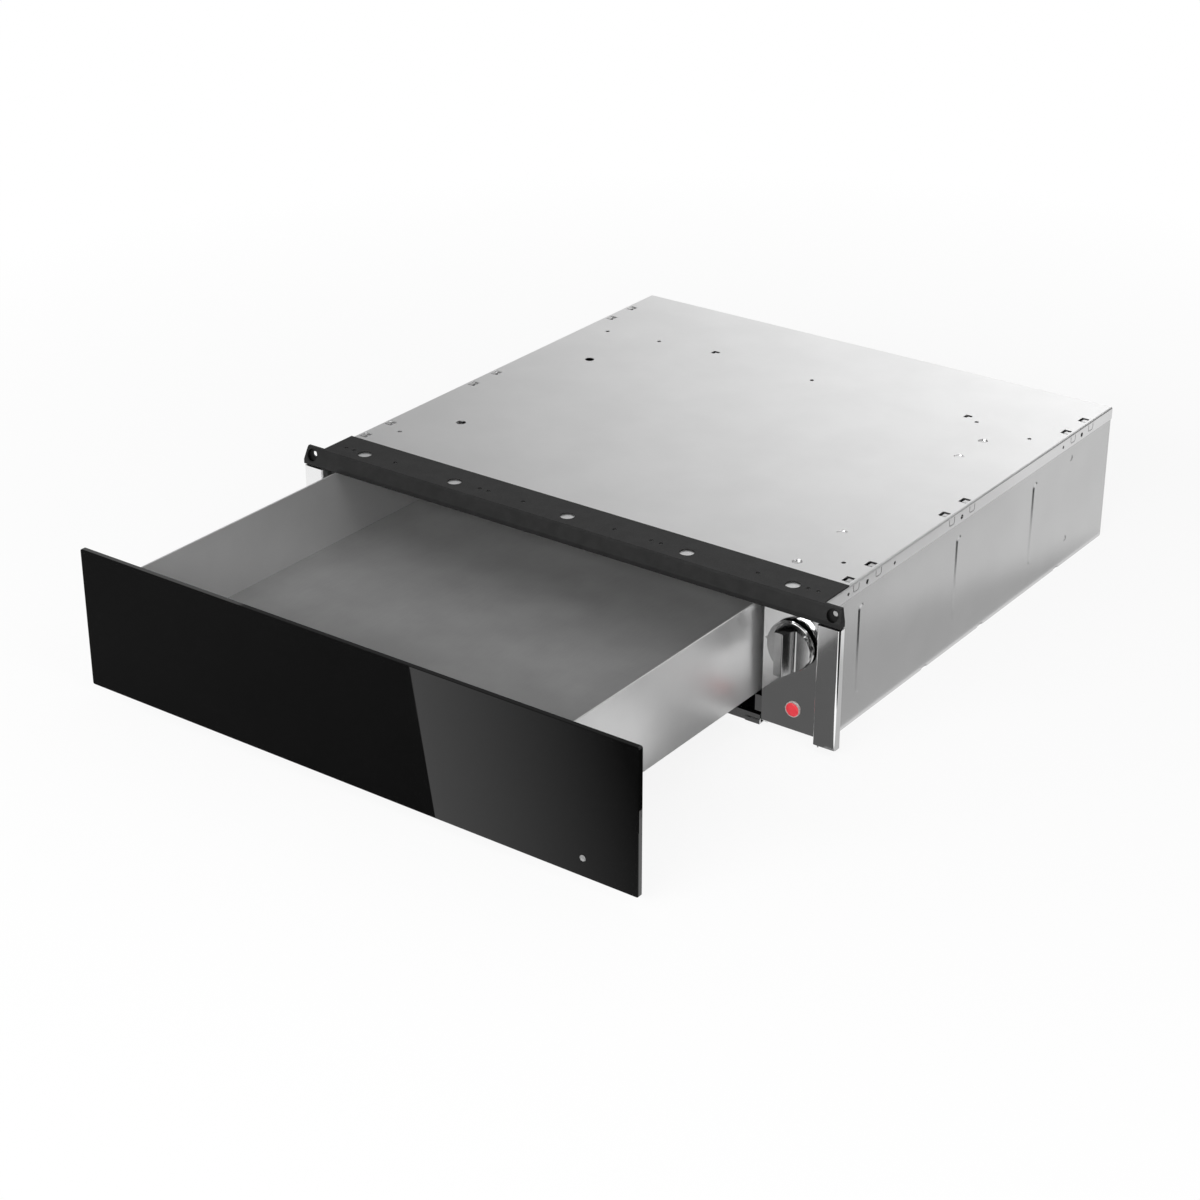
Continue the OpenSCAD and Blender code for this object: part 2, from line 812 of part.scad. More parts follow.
module thermal_cutout() {
    x = run_pitch;
    y = element_rear + run_pitch / 2;
    color("ivory") at_front() translate([drawer_mid, 0, 0]) {
        bar_z(cutout_d, x, y, tray_top, tray_top + cutout_h);
        for (side = [-1, 1])
            translate([x + side * cutout_d / 4, y, tray_top + cutout_h])
                block([-blade_t / 2, -blade_w / 2, 0], [blade_t / 2, blade_w / 2, blade_len]);
    }
}

// Thermostat behind the control panel, with its mounting plate and terminals
module thermostat_body() {
    half = thermostat_w / 2;
    body_from = sheet_t + thermostat_plate_t;
    color("lightgray") at_front() translate([knob_x, 0, knob_z]) difference() {
        union() {
            block([-half, sheet_t, -half / 2], [half, body_from, half / 2]);
            block([-half, body_from, -half], [half, body_from + thermostat_deep, half]);
            for (side = [-1, 1])
                translate([side * half / 2, body_from + thermostat_deep, 0])
                    block([-blade_t / 2, 0, -blade_w / 2], [blade_t / 2, blade_len, blade_w / 2]);
        }
        bar_y(shaft_d + 2 * shaft_fit, 0, 0, shaft_in + run_gap, 0);
    }
}

// Sensing bulb behind the heater, with its capillary led back to the thermostat
capillary_x = knob_x - thermostat_w / 4;
capillary_y = sheet_t + thermostat_plate_t + thermostat_deep / 2;
module thermostat_bulb() {
    bulb_x = drawer_mid + run_pitch * bulb_x_share;
    low = knob_z - thermostat_w / 2;
    color("peru") at_front() {
        bar_y(bulb_d, bulb_x, bulb_from, bulb_from + bulb_len, element_z);
        wire([[bulb_x, bulb_from + bulb_len, element_z],
            [bulb_x, capillary_run, element_z],
            [capillary_x, capillary_run, element_z],
            [capillary_x, capillary_y, element_z],
            [capillary_x, capillary_y, low]], capillary_d);
    }
}

module bulb_clips() {
    color("darkgray") at_front()
        for (share = [0.2, 0.8])
            saddle(drawer_mid + run_pitch * bulb_x_share, bulb_from + bulb_len * share, bulb_d, sheet_t, element_z);
}

module pilot_lamp_body() {
    color("whitesmoke") at_front() difference() {
        union() {
            bar_y(lamp_d, lamp_x, -lamp_bezel_t, 0, lamp_z);
            bar_y(lamp_body_d, lamp_x, 0, lamp_body_len, lamp_z);
            for (side = [-1, 1])
                translate([lamp_x + side * lamp_body_d / 4, lamp_body_len, lamp_z])
                    block([-blade_t / 2, 0, -blade_w / 2], [blade_t / 2, blade_len, blade_w / 2]);
        }
        bar_y(lamp_lens_d, lamp_x, -lamp_bezel_t - over, -lamp_seat_t, lamp_z);
    }
}

// Red lens: a disc with a shallow domed face
module pilot_lamp_lens() {
    dome_r = (pow(lamp_lens_d / 2, 2) + pow(lamp_bezel_t, 2)) / (2 * lamp_bezel_t);
    color("crimson") at_front() intersection() {
        bar_y(lamp_lens_d, lamp_x, -lamp_lens_t, -lamp_seat_t, lamp_z);
        translate([lamp_x, dome_r - lamp_lens_t, lamp_z]) sphere(dome_r, $fn = 96);
    }
}

module terminal_block() {
    color("white") at_front() translate([block_x, block_from, sheet_t]) difference() {
        block([0, 0, 0], [block_w, block_len, block_h]);
        for (share = [0.2, 0.5, 0.8]) {
            bar_z(screw_head_d - over, block_w * share, block_len / 4, block_h / 2, block_h + over);
            bar_y(screw_d, block_w * share, block_len / 2, block_len + over, block_h / 3);
        }
    }
}

module cable_gland() {
    color("#222222") at_front() difference() {
        union() {
            bar_y(gland_d, gland_x, casing_d - gland_in, casing_d, gland_z);
            bar_y(gland_flange_d, gland_x, casing_d, casing_d + gland_flange_t, gland_z);
        }
        bar_y(gland_bore, gland_x, casing_d - gland_in - over, casing_d + gland_flange_t + over, gland_z);
    }
}

// Upright bracket that carries one slide on the base plate
module slide_bracket() {
    face = slide_half;
    top = slide_z + slide_h / 2;
    from = shelf_deep + 2 * sheet_t;
    end = slide_from + slide_len;
    block([face, from, sheet_t], [face + bracket_web_t, end, top]);
    block([face + bracket_web_t, from, sheet_t], [face + foot_w, end, sheet_t + foot_t]);
}

module slide_bracket_left() {
    color("silver") at_front() drawer_pair(-1) slide_bracket();
}

module slide_bracket_right() {
    color("silver") at_front() drawer_pair(1) slide_bracket();
}

// Slide members: C-sections extruded along the travel, u counted from the outer web
module slide_section(web, lip, half) {
    inner = min(web, lip);
    outer = max(web, lip);
    web_low = web < lip ? web : web - slide_t;
    block([-web_low - slide_t, 0, -half], [-web_low, slide_len, half]);
    block([-outer, 0, half - slide_t], [-inner, slide_len, half]);
    block([-outer, 0, -half], [-inner, slide_len, -half + slide_t]);
}

module slide_place() {
    translate([slide_half, slide_from, slide_z]) children();
}

module slide_outer() {
    slide_place() slide_section(0, outer_lip, slide_h / 2);
}

module slide_middle() {
    slide_place() slide_section(mid_web, mid_lip, mid_half);
}

module slide_inner() {
    slide_place() slide_section(inner_web + slide_t, inner_lip, inner_half);
}

module slide_outer_left() {
    color("lightgray") at_front() drawer_pair(-1) slide_outer();
}

module slide_outer_right() {
    color("lightgray") at_front() drawer_pair(1) slide_outer();
}

module slide_middle_left() {
    color("lightgray") opened(0.5) drawer_pair(-1) slide_middle();
}

module slide_middle_right() {
    color("lightgray") opened(0.5) drawer_pair(1) slide_middle();
}

module slide_inner_left() {
    color("lightgray") opened(1) drawer_pair(-1) slide_inner();
}

module slide_inner_right() {
    color("lightgray") opened(1) drawer_pair(1) slide_inner();
}

// Ball cage: two strips with a row of balls each, joined by a thin web
module ball_cage(race_z, web_u) {
    from = slide_from + (slide_len - cage_len) / 2;
    translate([slide_half, from, slide_z]) {
        block([-web_u - cage_t, 0, -race_z - cage_t / 2], [-web_u, cage_len, race_z + cage_t / 2]);
        for (side = [-1, 1]) {
            edge = ball_reach + ball_d / 2 + cage_rim;
            difference() {
                block([-edge, 0, side * race_z - cage_t / 2], [-web_u, cage_len, side * race_z + cage_t / 2]);
                for (i = [0 : ball_count - 1])
                    bar_z(ball_d + 2 * clip_gap, -ball_reach, ball_pitch * (i + 0.7), side * race_z - over,
                        side * race_z + over);
            }
            for (i = [0 : ball_count - 1])
                translate([-ball_reach, ball_pitch * (i + 0.7), side * race_z]) sphere(d = ball_d, $fn = 32);
        }
    }
}

outer_race = slide_h / 2 - slide_t - race_gap / 2;
inner_race = mid_half - slide_t - race_gap / 2;
outer_cage_web = slide_t + run_gap;
inner_cage_web = mid_web + slide_t + run_gap;

module ball_cage_outer_left() {
    color("goldenrod") opened(0.25) drawer_pair(-1) ball_cage(outer_race, outer_cage_web);
}

module ball_cage_outer_right() {
    color("goldenrod") opened(0.25) drawer_pair(1) ball_cage(outer_race, outer_cage_web);
}

module ball_cage_inner_left() {
    color("goldenrod") opened(0.75) drawer_pair(-1) ball_cage(inner_race, inner_cage_web);
}

module ball_cage_inner_right() {
    color("goldenrod") opened(0.75) drawer_pair(1) ball_cage(inner_race, inner_cage_web);
}

// Push-to-open latch on the back panel
module latch_body() {
    color("gray") at_front() difference() {
        block([drawer_mid - latch_w / 2, wall_back - latch_len, latch_z - latch_h / 2],
            [drawer_mid + latch_w / 2, wall_back, latch_z + latch_h / 2]);
        bar_y(stem_d + 2 * shaft_fit, drawer_mid, wall_back - latch_len - over, wall_back - 2 * sheet_t, latch_z);
    }
}

module latch_plunger() {
    tip_from = tip_y + magnet_t;
    color("#303030") at_front() {
        bar_y(tip_d, drawer_mid, tip_from, tip_from + tip_t, latch_z);
        bar_y(stem_d, drawer_mid, tip_from + tip_t, stem_end, latch_z);
    }
}

module latch_magnet() {
    color("slategray") at_front() bar_y(magnet_d, drawer_mid, tip_y, tip_y + magnet_t, latch_z);
}

module latch_striker() {
    color("slategray") opened(1) bar_y(striker_d, drawer_mid, drawer_end, drawer_end + striker_t, latch_z);
}

// Compression spring behind the plunger, one unbroken coil
spring_from = stem_end + spring_wire / 2 + clip_gap;
spring_len = wall_back - 2 * sheet_t - spring_wire / 2 - clip_gap - spring_from;
spring_count = spring_turns * spring_steps;
function spring_point(i) =
    let (turn = i / spring_steps * 360, r = (spring_d - spring_wire) / 2)
    [r * cos(turn), spring_len * i / spring_count, r * sin(turn)];
function spring_ring(i) =
    let (turn = i / spring_steps * 360, c = spring_point(i))
    [for (k = [0 : spring_sides - 1])
        let (a = 360 * k / spring_sides, r = spring_wire / 2)
        c + [r * cos(a) * cos(turn), r * sin(a), r * cos(a) * sin(turn)]];

module latch_spring() {
    points = [for (i = [0 : spring_count]) each spring_ring(i)];
    last = spring_count * spring_sides;
    walls = [for (i = [0 : spring_count - 1], k = [0 : spring_sides - 1])
        let (a = i * spring_sides + k, b = i * spring_sides + (k + 1) % spring_sides)
        each [[a, b, b + spring_sides], [a, b + spring_sides, a + spring_sides]]];
    cap_low = [for (k = [1 : spring_sides - 2]) [0, k + 1, k]];
    cap_high = [for (k = [1 : spring_sides - 2]) [last, last + k, last + k + 1]];
    color("gray") at_front() translate([drawer_mid, spring_from, latch_z])
        polyhedron(points, concat(walls, cap_low, cap_high));
}

module screw_y(x, y, z, len) {
    bar_y(screw_head_d, x, y, y + screw_head_t, z);
    bar_y(screw_d, x, y - len, y, z);
}

module back_screws() {
    color("silver") at_front()
        for (side = [-1, 1], share = back_screw_shares)
            screw_y(side * (side_in - seam_flange / 2), casing_d, casing_h * share, screw_len);
}

// Round wire through a list of points, with a ball at each corner
module wire(points, d) {
    for (i = [0 : len(points) - 2]) {
        step = points[i + 1] - points[i];
        len = norm(step);
        translate(points[i]) rotate([0, acos(step.z / len), atan2(step.y, step.x)])
            cylinder(d = d, h = len, $fn = 16);
    }
    for (i = [1 : len(points) - 2]) translate(points[i]) sphere(d = d, $fn = 16);
}

// Inner wire in level and upright runs: up from its terminal, forward, across and down to its blade
wire_d = 2.4;
wire_step = 10;
module lead(from_x, low, to_x, to_y, to_z, step) {
    from_y = block_from + block_len / 4;
    turn_y = to_y + step;
    wire([[from_x, from_y, sheet_t + block_h / 2], [from_x, from_y, low], [from_x, turn_y, low],
        [to_x, turn_y, low], [to_x, turn_y, to_z], [to_x, to_y, to_z]], wire_d);
}

module wiring() {
    low = sheet_t + block_h + 2 * wire_d;
    lamp_y = lamp_body_len + blade_len;
    thermostat_y = sheet_t + thermostat_plate_t + thermostat_deep + blade_len;
    color("firebrick") at_front() {
        lead(block_x + block_w * 0.2, low, lamp_x - lamp_body_d / 4, lamp_y, lamp_z, wire_step);
        lead(block_x + block_w * 0.5, low, lamp_x + lamp_body_d / 4, lamp_y, lamp_z, 2 * wire_step);
        lead(block_x + block_w * 0.8, lamp_z * 2, knob_x - thermostat_w / 4, thermostat_y, knob_z,
            wire_step);
    }
}

// Knob: flange with a pointer nub, and a tapered drum cut down to a bar grip with sloping shoulders
module knob() {
    back = -knob_gap;
    drum_from = back - knob_flange_t;
    edge = drum_from - knob_edge_t;
    root = drum_from - knob_root_t;
    tip = -knob_reach;
    rim = knob_flange_d / 2;
    color("darkgray") at_front() translate([knob_x, 0, knob_z]) difference() {
        union() {
            bar_y(knob_flange_d, 0, drum_from, back, 0);
            intersection() {
                translate([0, tip, 0]) rotate([-90, 0, 0])
                    cylinder(r1 = knob_d / 2 - knob_taper, r2 = knob_d / 2, h = drum_from - tip);
                translate([0, 0, -rim]) linear_extrude(2 * rim) polygon([
                    [-rim, drum_from + over],
                    [-rim, edge],
                    [-knob_root_w / 2, root],
                    [-knob_grip_w / 2, tip],
                    [knob_grip_w / 2, tip],
                    [knob_root_w / 2, root],
                    [rim, edge],
                    [rim, drum_from + over]]);
            }
            translate([0, back, 0]) rotate([90, 0, 0]) linear_extrude(knob_flange_t) polygon([
                [-rim - knob_nub, knob_nub / 2],
                [-knob_d / 2, -knob_nub / 2],
                [-knob_d / 2, knob_nub * 1.5]]);
        }
        bar_y(shaft_d, 0, back - shaft_grip, over, 0);
    }
}

module thermostat_shaft() {
    color("silver") at_front() translate([knob_x, 0, knob_z]) difference() {
        bar_y(shaft_d, 0, -knob_gap - shaft_grip, shaft_in, 0);
        block([-shaft_d, -knob_gap - shaft_grip - over, shaft_d / 2 - shaft_flat],
            [shaft_d, -knob_gap - shaft_grip / 2, shaft_d]);
    }
}

module front_glass() {
    front = glass_back - glass_t;
    color("#0b0b0d") opened(1) difference() {
        translate([-glass_w / 2, glass_back, glass_foot])
            rotate([90, 0, 0]) linear_extrude(glass_t) round_rect(glass_w, glass_h, bend_r);
        bar_y(lens_d, lens_x, front - over, glass_back + over, lens_z);
    }
}

module front_lens() {
    color("lightgray") opened(1) {
        bar_y(lens_d, lens_x, glass_back - glass_t, glass_back, lens_z);
        bar_y(lens_flange_d, lens_x, glass_back, glass_back + lens_proud, lens_z);
    }
}

// Hat-section rail behind the glass, screwed to the drawer's front wall
carrier_flange = 12;
carrier_margin = 4;
carrier_low = skirt_foot;
carrier_high = rim_z - carrier_margin;
carrier_left = drawer_left;
carrier_right = drawer_right;
module front_carrier() {
    low_web = carrier_low + carrier_flange;
    high_web = carrier_high - carrier_flange;
    from = glass_back + tape_t;
    color("dimgray") opened(1) difference() {
        union() {
            block([carrier_left, from, carrier_low], [carrier_right, from + drawer_t, low_web]);
            block([carrier_left, from, high_web], [carrier_right, from + drawer_t, carrier_high]);
            block([carrier_left, from, low_web - drawer_t], [carrier_right, wall_front, low_web]);
            block([carrier_left, from, high_web], [carrier_right, wall_front, high_web + drawer_t]);
            block([carrier_left, wall_front - drawer_t, low_web], [carrier_right, wall_front, high_web]);
        }
        front_screw_holes();
    }
}

module glass_tapes() {
    color("black") opened(1)
        for (z = [carrier_low, carrier_high - carrier_flange])
            block([carrier_left, glass_back, z], [carrier_right, glass_back + tape_t, z + carrier_flange]);
}

front_screw_share = 0.75;
front_screw_rise = 14;
front_screw_drop = 8;
front_screw_low = floor_z + front_screw_rise;
front_screw_high = carrier_high - carrier_flange - front_screw_drop;
module front_screw_holes() {
    for (side = [-1, 1], z = [front_screw_low, front_screw_high])
        bar_y(screw_hole, drawer_mid + side * front_screw_share * drawer_half, wall_front - 2 * drawer_t,
            wall_front + 2 * drawer_t, z);
}

module front_screws() {
    color("silver") opened(1)
        for (side = [-1, 1], z = [front_screw_low, front_screw_high])
            screw_y(drawer_mid + side * front_screw_share * drawer_half, wall_front + drawer_t, z,
                screw_len / 2);
}

module drawer_front() {
    color("darkgray") opened(1) difference() {
        block([drawer_mid - wall_in, wall_front, floor_z],
            [drawer_mid + wall_in, wall_front + drawer_t, rim_z]);
        front_screw_holes();
    }
}

module drawer_back() {
    color("darkgray") opened(1)
        block([drawer_mid - wall_in, drawer_end - drawer_t, floor_z],
            [drawer_mid + wall_in, drawer_end, rim_z - drawer_back_drop]);
}

module drawer_floor() {
    color("darkgray") opened(1)
        block([drawer_mid - wall_in, wall_front, floor_under], [drawer_mid + wall_in, drawer_end, floor_z]);
}

// Side wall with an outward hem along its rim and a skirt below the floor
module drawer_side() {
    block([wall_in, wall_front, skirt_foot], [wall_in + drawer_t, drawer_end, rim_z]);
    block([wall_in + drawer_t, wall_front, rim_z - hem_h], [drawer_half, drawer_end, rim_z]);
}

module drawer_side_left() {
    color("lightgray") opened(1) drawer_pair(-1) drawer_side();
}

module drawer_side_right() {
    color("lightgray") opened(1) drawer_pair(1) drawer_side();
}

// Angle that hangs the drawer's floor on one slide's inner member
module drawer_runner() {
    face = slide_half - inner_web - slide_t;
    block([face - runner_t, slide_from, slide_z - inner_half],
        [face, slide_from + slide_len, floor_under - runner_t]);
    block([face - runner_t - foot_w, slide_from, floor_under - runner_t],
        [face, slide_from + slide_len, floor_under]);
}

module drawer_runner_left() {
    color("silver") opened(1) drawer_pair(-1) drawer_runner();
}

module drawer_runner_right() {
    color("silver") opened(1) drawer_pair(1) drawer_runner();
}

top_cover();
side_panel_left();
side_panel_right();
base_plate();
back_panel();
top_bracket();
front_post_left();
front_post_right();
control_panel();
bay_partition();
insulation_pad();
heater_tray();
heating_element();
heater_clips();
thermal_cutout();
thermostat_body();
thermostat_bulb();
bulb_clips();
pilot_lamp_body();
pilot_lamp_lens();
terminal_block();
cable_gland();
slide_bracket_left();
slide_bracket_right();
slide_outer_left();
slide_outer_right();
latch_body();
latch_spring();
back_screws();
wiring();
knob();
thermostat_shaft();
latch_plunger();
latch_magnet();
front_glass();
front_lens();
glass_tapes();
front_carrier();
drawer_front();
drawer_back();
drawer_side_left();
drawer_side_right();
drawer_floor();
drawer_runner_left();
drawer_runner_right();
slide_inner_left();
slide_inner_right();
latch_striker();
front_screws();
slide_middle_left();
slide_middle_right();
ball_cage_outer_left();
ball_cage_outer_right();
ball_cage_inner_left();
ball_cage_inner_right();
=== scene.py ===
import math

import bmesh
import bpy
from mathutils import Matrix, Vector


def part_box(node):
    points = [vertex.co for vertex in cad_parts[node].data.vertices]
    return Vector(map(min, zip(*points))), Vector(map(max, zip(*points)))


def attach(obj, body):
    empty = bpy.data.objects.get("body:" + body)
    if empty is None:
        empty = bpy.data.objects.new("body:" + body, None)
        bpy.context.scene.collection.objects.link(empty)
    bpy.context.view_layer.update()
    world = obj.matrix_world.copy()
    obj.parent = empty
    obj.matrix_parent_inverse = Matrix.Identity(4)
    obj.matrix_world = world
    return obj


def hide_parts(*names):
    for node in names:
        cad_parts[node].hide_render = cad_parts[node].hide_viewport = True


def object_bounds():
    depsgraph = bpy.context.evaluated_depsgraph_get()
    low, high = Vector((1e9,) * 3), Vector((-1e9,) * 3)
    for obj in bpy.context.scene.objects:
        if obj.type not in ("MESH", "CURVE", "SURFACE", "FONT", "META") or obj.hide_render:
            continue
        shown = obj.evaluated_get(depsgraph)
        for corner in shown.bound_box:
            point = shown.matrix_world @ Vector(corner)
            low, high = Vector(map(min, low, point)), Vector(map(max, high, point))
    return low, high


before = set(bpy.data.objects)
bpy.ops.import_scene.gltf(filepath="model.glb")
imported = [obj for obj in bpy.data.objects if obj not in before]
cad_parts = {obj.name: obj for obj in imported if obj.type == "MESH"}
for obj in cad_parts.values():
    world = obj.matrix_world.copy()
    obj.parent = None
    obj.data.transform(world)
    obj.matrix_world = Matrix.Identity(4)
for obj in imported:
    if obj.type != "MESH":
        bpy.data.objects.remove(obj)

MM = 0.001
solid_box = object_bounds()


def linear(hex_colour):
    """An sRGB hex value as linear colour with full alpha."""
    shares = [int(hex_colour[at:at + 2], 16) / 255 for at in (1, 3, 5)]
    return [s / 12.92 if s <= 0.04045 else ((s + 0.055) / 1.055) ** 2.4 for s in shares] + [1]


def cleared_tree(owner):
    """The node tree of a material or a world, emptied."""
    owner.use_nodes = True
    owner.node_tree.nodes.clear()
    return owner.node_tree


def add(tree, kind, sockets=None, **settings):
    """Adds a node. A socket takes a plain value or another node's output."""
    node = tree.nodes.new("ShaderNode" + kind)
    for name, value in settings.items():
        setattr(node, name, value)
    for name, value in (sockets or {}).items():
        if isinstance(value, bpy.types.NodeSocket):
            tree.links.new(value, node.inputs[name])
        else:
            node.inputs[name].default_value = value
    return node


# Camera: level horizon, above and to the right of the open drawer. Angles are in degrees.
CAMERA_PLACE = (1.2719, -1.95, 1.1017)
CAMERA_DOWN, CAMERA_TURN = 26.28, 36.111
SENSOR_MM, LENS_MM = 36, 78.08
FARTHEST = 50

camera = bpy.data.objects.new("camera", bpy.data.cameras.new("camera"))
camera.location = CAMERA_PLACE
camera.rotation_euler = (math.radians(90 - CAMERA_DOWN), 0, math.radians(CAMERA_TURN))
camera.data.sensor_width = SENSOR_MM
camera.data.lens = LENS_MM
camera.data.clip_end = FARTHEST
bpy.context.scene.collection.objects.link(camera)
bpy.context.scene.camera = camera
bpy.context.scene.view_settings.view_transform = "Standard"


# Finishes

def finish(name, light, dark, cloud_mm, rough, grain_mm, stretch=(1, 1, 1), relief_mm=0.0, sockets=None):
    """A finish whose tone drifts in clouds, and whose gloss and height follow a fine grain.

    cloud_mm and grain_mm are the sizes of the two patterns on the part. A stretch below 1 draws the
    grain out along that axis.
    """
    material = bpy.data.materials.new(name)
    tree = cleared_tree(material)
    place = add(tree, "TexCoord").outputs["Object"]
    # Noise keeps near 0.5, so a range round its middle is spread over the whole drift.
    clouds = add(tree, "TexNoise", {"Vector": place, "Scale": 1 / (cloud_mm * MM), "Detail": 3.0})
    cloud_share = add(tree, "MapRange", {"Value": clouds.outputs[0], "From Min": 0.35, "From Max": 0.65})
    # Sockets 6 and 7 of a Mix node are its two colours.
    tone = add(tree, "Mix", {0: cloud_share.outputs[0], 6: linear(light), 7: linear(dark)},
               data_type="RGBA")
    drawn = add(tree, "Mapping", {"Vector": place, "Scale": stretch})
    grain = add(tree, "TexNoise", {"Vector": drawn.outputs[0], "Scale": 1 / (grain_mm * MM),
                                   "Detail": 2.0})
    gloss = add(tree, "MapRange", {"Value": grain.outputs[0], "From Min": 0.3, "From Max": 0.7,
                                   "To Min": rough[0], "To Max": rough[1]})
    shader = add(tree, "BsdfPrincipled", {"Base Color": tone.outputs[2], "Roughness": gloss.outputs[0],
                                          **(sockets or {})})
    if relief_mm:
        relief = add(tree, "Bump", {"Height": grain.outputs[0], "Distance": relief_mm * MM,
                                    "Strength": 1.0})
        tree.links.new(relief.outputs[0], shader.inputs["Normal"])
    add(tree, "OutputMaterial", {"Surface": shader.outputs[0]})
    return material


METAL = {"Metallic": 1.0}

# The orange peel of the powder coat and the tufts of the wool board are about as large as real ones.
# All other grains are drawn coarser than real, because a real one is finer than a pixel.
FINISHES = {
    # Hot-dip galvanised sheet, temper rolled: a soft grey mirror with no spangle left in it.
    "galvanised_sheet": finish("zinc_coated_sheet", "#cccccc", "#c8c8c8", 60, (0.24, 0.26), 4,
                               sockets=METAL),
    # Galvanised sheet of the cover: the same steel as the sides, painted paler as a painted highlight, so
    # its folded flanges stand out.
    "cover_painted_highlight_sheet": finish("zinc_sheet_painted_paler", "#e6e6e6", "#e2e2e2", 60, (0.29, 0.31), 4,
                          sockets=METAL),
    # Bright annealed stainless sheet: reflects almost like a mirror.
    "bright_steel": finish("bright_annealed_steel", "#f0f0f0", "#ececec", 40, (0.10, 0.12), 4,
                           sockets=METAL),
    # Satin stainless sheet of the drawer's walls: reflections are soft but still readable.
    "drawer_steel": finish("satin_stainless_sheet", "#d6d6d6", "#d2d2d2", 50, (0.30, 0.34), 3,
                           sockets={"Metallic": 0.6}),
    # Brushed floor sheet of the drawer: darker and duller, so that it mirrors the walls only faintly.
    "floor_sheet": finish("brushed_floor_sheet", "#949494", "#8c8c8c", 50, (0.42, 0.5), 1.2,
                          (1, 0.05, 1), sockets={"Metallic": 0.2}),
    # Black powder coat on steel: fine orange peel, low sheen.
    "black_coat": finish("black_powder_coat", "#272727", "#222222", 12, (0.5, 0.58), 1.4,
                         relief_mm=0.02, sockets={"Specular IOR Level": 0.15}),
    # Black float glass: deep and polished, so that it shows little but what it mirrors.
    "black_glass": finish("black_float_glass", "#050505", "#040404", 80, (0.015, 0.03), 30,
                          sockets={"IOR": 1.52}),
    # Frosted polycarbonate of the lamp window: a soft grey dot in the black glass.
    "window_plastic": finish("frosted_polycarbonate", "#9a9a9a", "#8e8e8e", 3, (0.25, 0.35), 0.8),
    # Red polycarbonate of the lamp's lens: lit from inside and a little cloudy, with a glossy face.
    "red_lens": finish("lit_red_polycarbonate", "#cc3840", "#c4323a", 4, (0.10, 0.16), 1.0,
                       sockets={"Subsurface Weight": 0.4, "Subsurface Radius": (0.004, 0.001, 0.001),
                                "Subsurface Scale": 1.0, "Emission Color": linear("#e8505a"),
                                "Emission Strength": 0.34}),
    # White polyamide of the lamp's housing: matt, with a painted red glow from the lit lens that makes it a
    # little warm.
    "lamp_plastic": finish("white_polyamide_painted_glow", "#c4b6b4", "#baacaa", 6, (0.35, 0.45), 0.8,
                           relief_mm=0.01),
    # Plated zinc casting of the knob: a bright grey with small, sharp highlights.
    "knob_metal": finish("plated_zinc_casting", "#b4b4b4", "#aeaeae", 9, (0.11, 0.14), 1.2,
                         sockets=METAL),
    # Bright zinc plate on slides, screws and clips: pale and slightly blue, half glossy.
    "zinc_steel": finish("bright_zinc_plate", "#c9cbce", "#bfc2c6", 8, (0.22, 0.34), 0.9,
                         sockets=METAL),
    # Phosphated strip: a darker and duller grey than the zinc plate around it.
    "cage_steel": finish("phosphated_strip", "#8f9194", "#84868a", 6, (0.3, 0.4), 0.7, sockets=METAL),
    # Steel sheath of the heater, oxidised by heat: brownish grey in uneven patches.
    "element_sheath": finish("oxidised_heater_sheath", "#6f6a62", "#4f4b47", 14, (0.4, 0.55), 0.8,
                             relief_mm=0.02, sockets=METAL),
    # Mineral wool board: straw coloured, quite matt, with its fibres lying along the board.
    "insulation": finish("mineral_wool_board", "#cdbf8e", "#a8976a", 5, (0.85, 1.0), 0.7, (1, 0.25, 1),
                         relief_mm=0.5),
    # Steatite: off-white and waxy.
    "white_ceramic": finish("steatite", "#efece2", "#e2ded2", 6, (0.25, 0.4), 0.6, relief_mm=0.01),
    # Drawn copper: a warm metal, dulled in patches.
    "copper_tube": finish("drawn_copper", "#c47a55", "#a5603f", 10, (0.25, 0.38), 0.8, sockets=METAL),
    # Silicone cover of the leads: an even brick red with little gloss.
    "wire_cover": finish("silicone_wire_cover", "#a83c2c", "#983424", 10, (0.45, 0.6), 0.8),
    # Black rubber: matt, with a faint skin.
    "black_rubber": finish("black_rubber", "#191919", "#121212", 6, (0.55, 0.7), 0.6, relief_mm=0.02),
    # Grey acetal: an even mid grey with a waxy sheen.
    "grey_plastic": finish("grey_acetal", "#8f9294", "#86898b", 8, (0.35, 0.45), 0.7, relief_mm=0.01),
    # Dark acetal: nearly black, with the same waxy sheen.
    "dark_plastic": finish("dark_acetal", "#2c2d2f", "#252628", 8, (0.35, 0.45), 0.7, relief_mm=0.01),
    # Sintered magnet: a dark, grainy metal.
    "magnet_steel": finish("sintered_magnet", "#4a4a4c", "#3e3e40", 2, (0.35, 0.5), 0.4, sockets=METAL),
}

# Two sheets don't take the finish of their slot.
OWN_FINISH = {"top_cover": "cover_painted_highlight_sheet", "drawer_floor": "floor_sheet"}

for node_name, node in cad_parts.items():
    for place in node.material_slots:
        slot_name = place.material.name.split(".")[0]
        place.material = FINISHES[OWN_FINISH.get(node_name, slot_name)]


# Pieces. Their sizes are in millimetres.

# Steps of a full turn, on the knob and the screws and on the smaller round parts.
ROUND_STEPS, SMALL_STEPS = 96, 64


def box_mm(node_name):
    """The low and the high corner of a solid at rest, rounded to hundredths of a millimetre."""
    return [[round(value / MM, 2) for value in corner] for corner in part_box(node_name)]


def piece(name, mesh, body, slot_name, replaced, smooth_deg=35):
    """Puts a mesh into the scene as one piece of the drawer, on the body that carries it."""
    shape = bpy.data.objects.new(name, mesh)
    bpy.context.scene.collection.objects.link(shape)
    mesh.materials.append(FINISHES[slot_name])
    mesh.shade_smooth()
    mesh.set_sharp_from_angle(angle=math.radians(smooth_deg))
    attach(shape, body)
    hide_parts(*replaced)


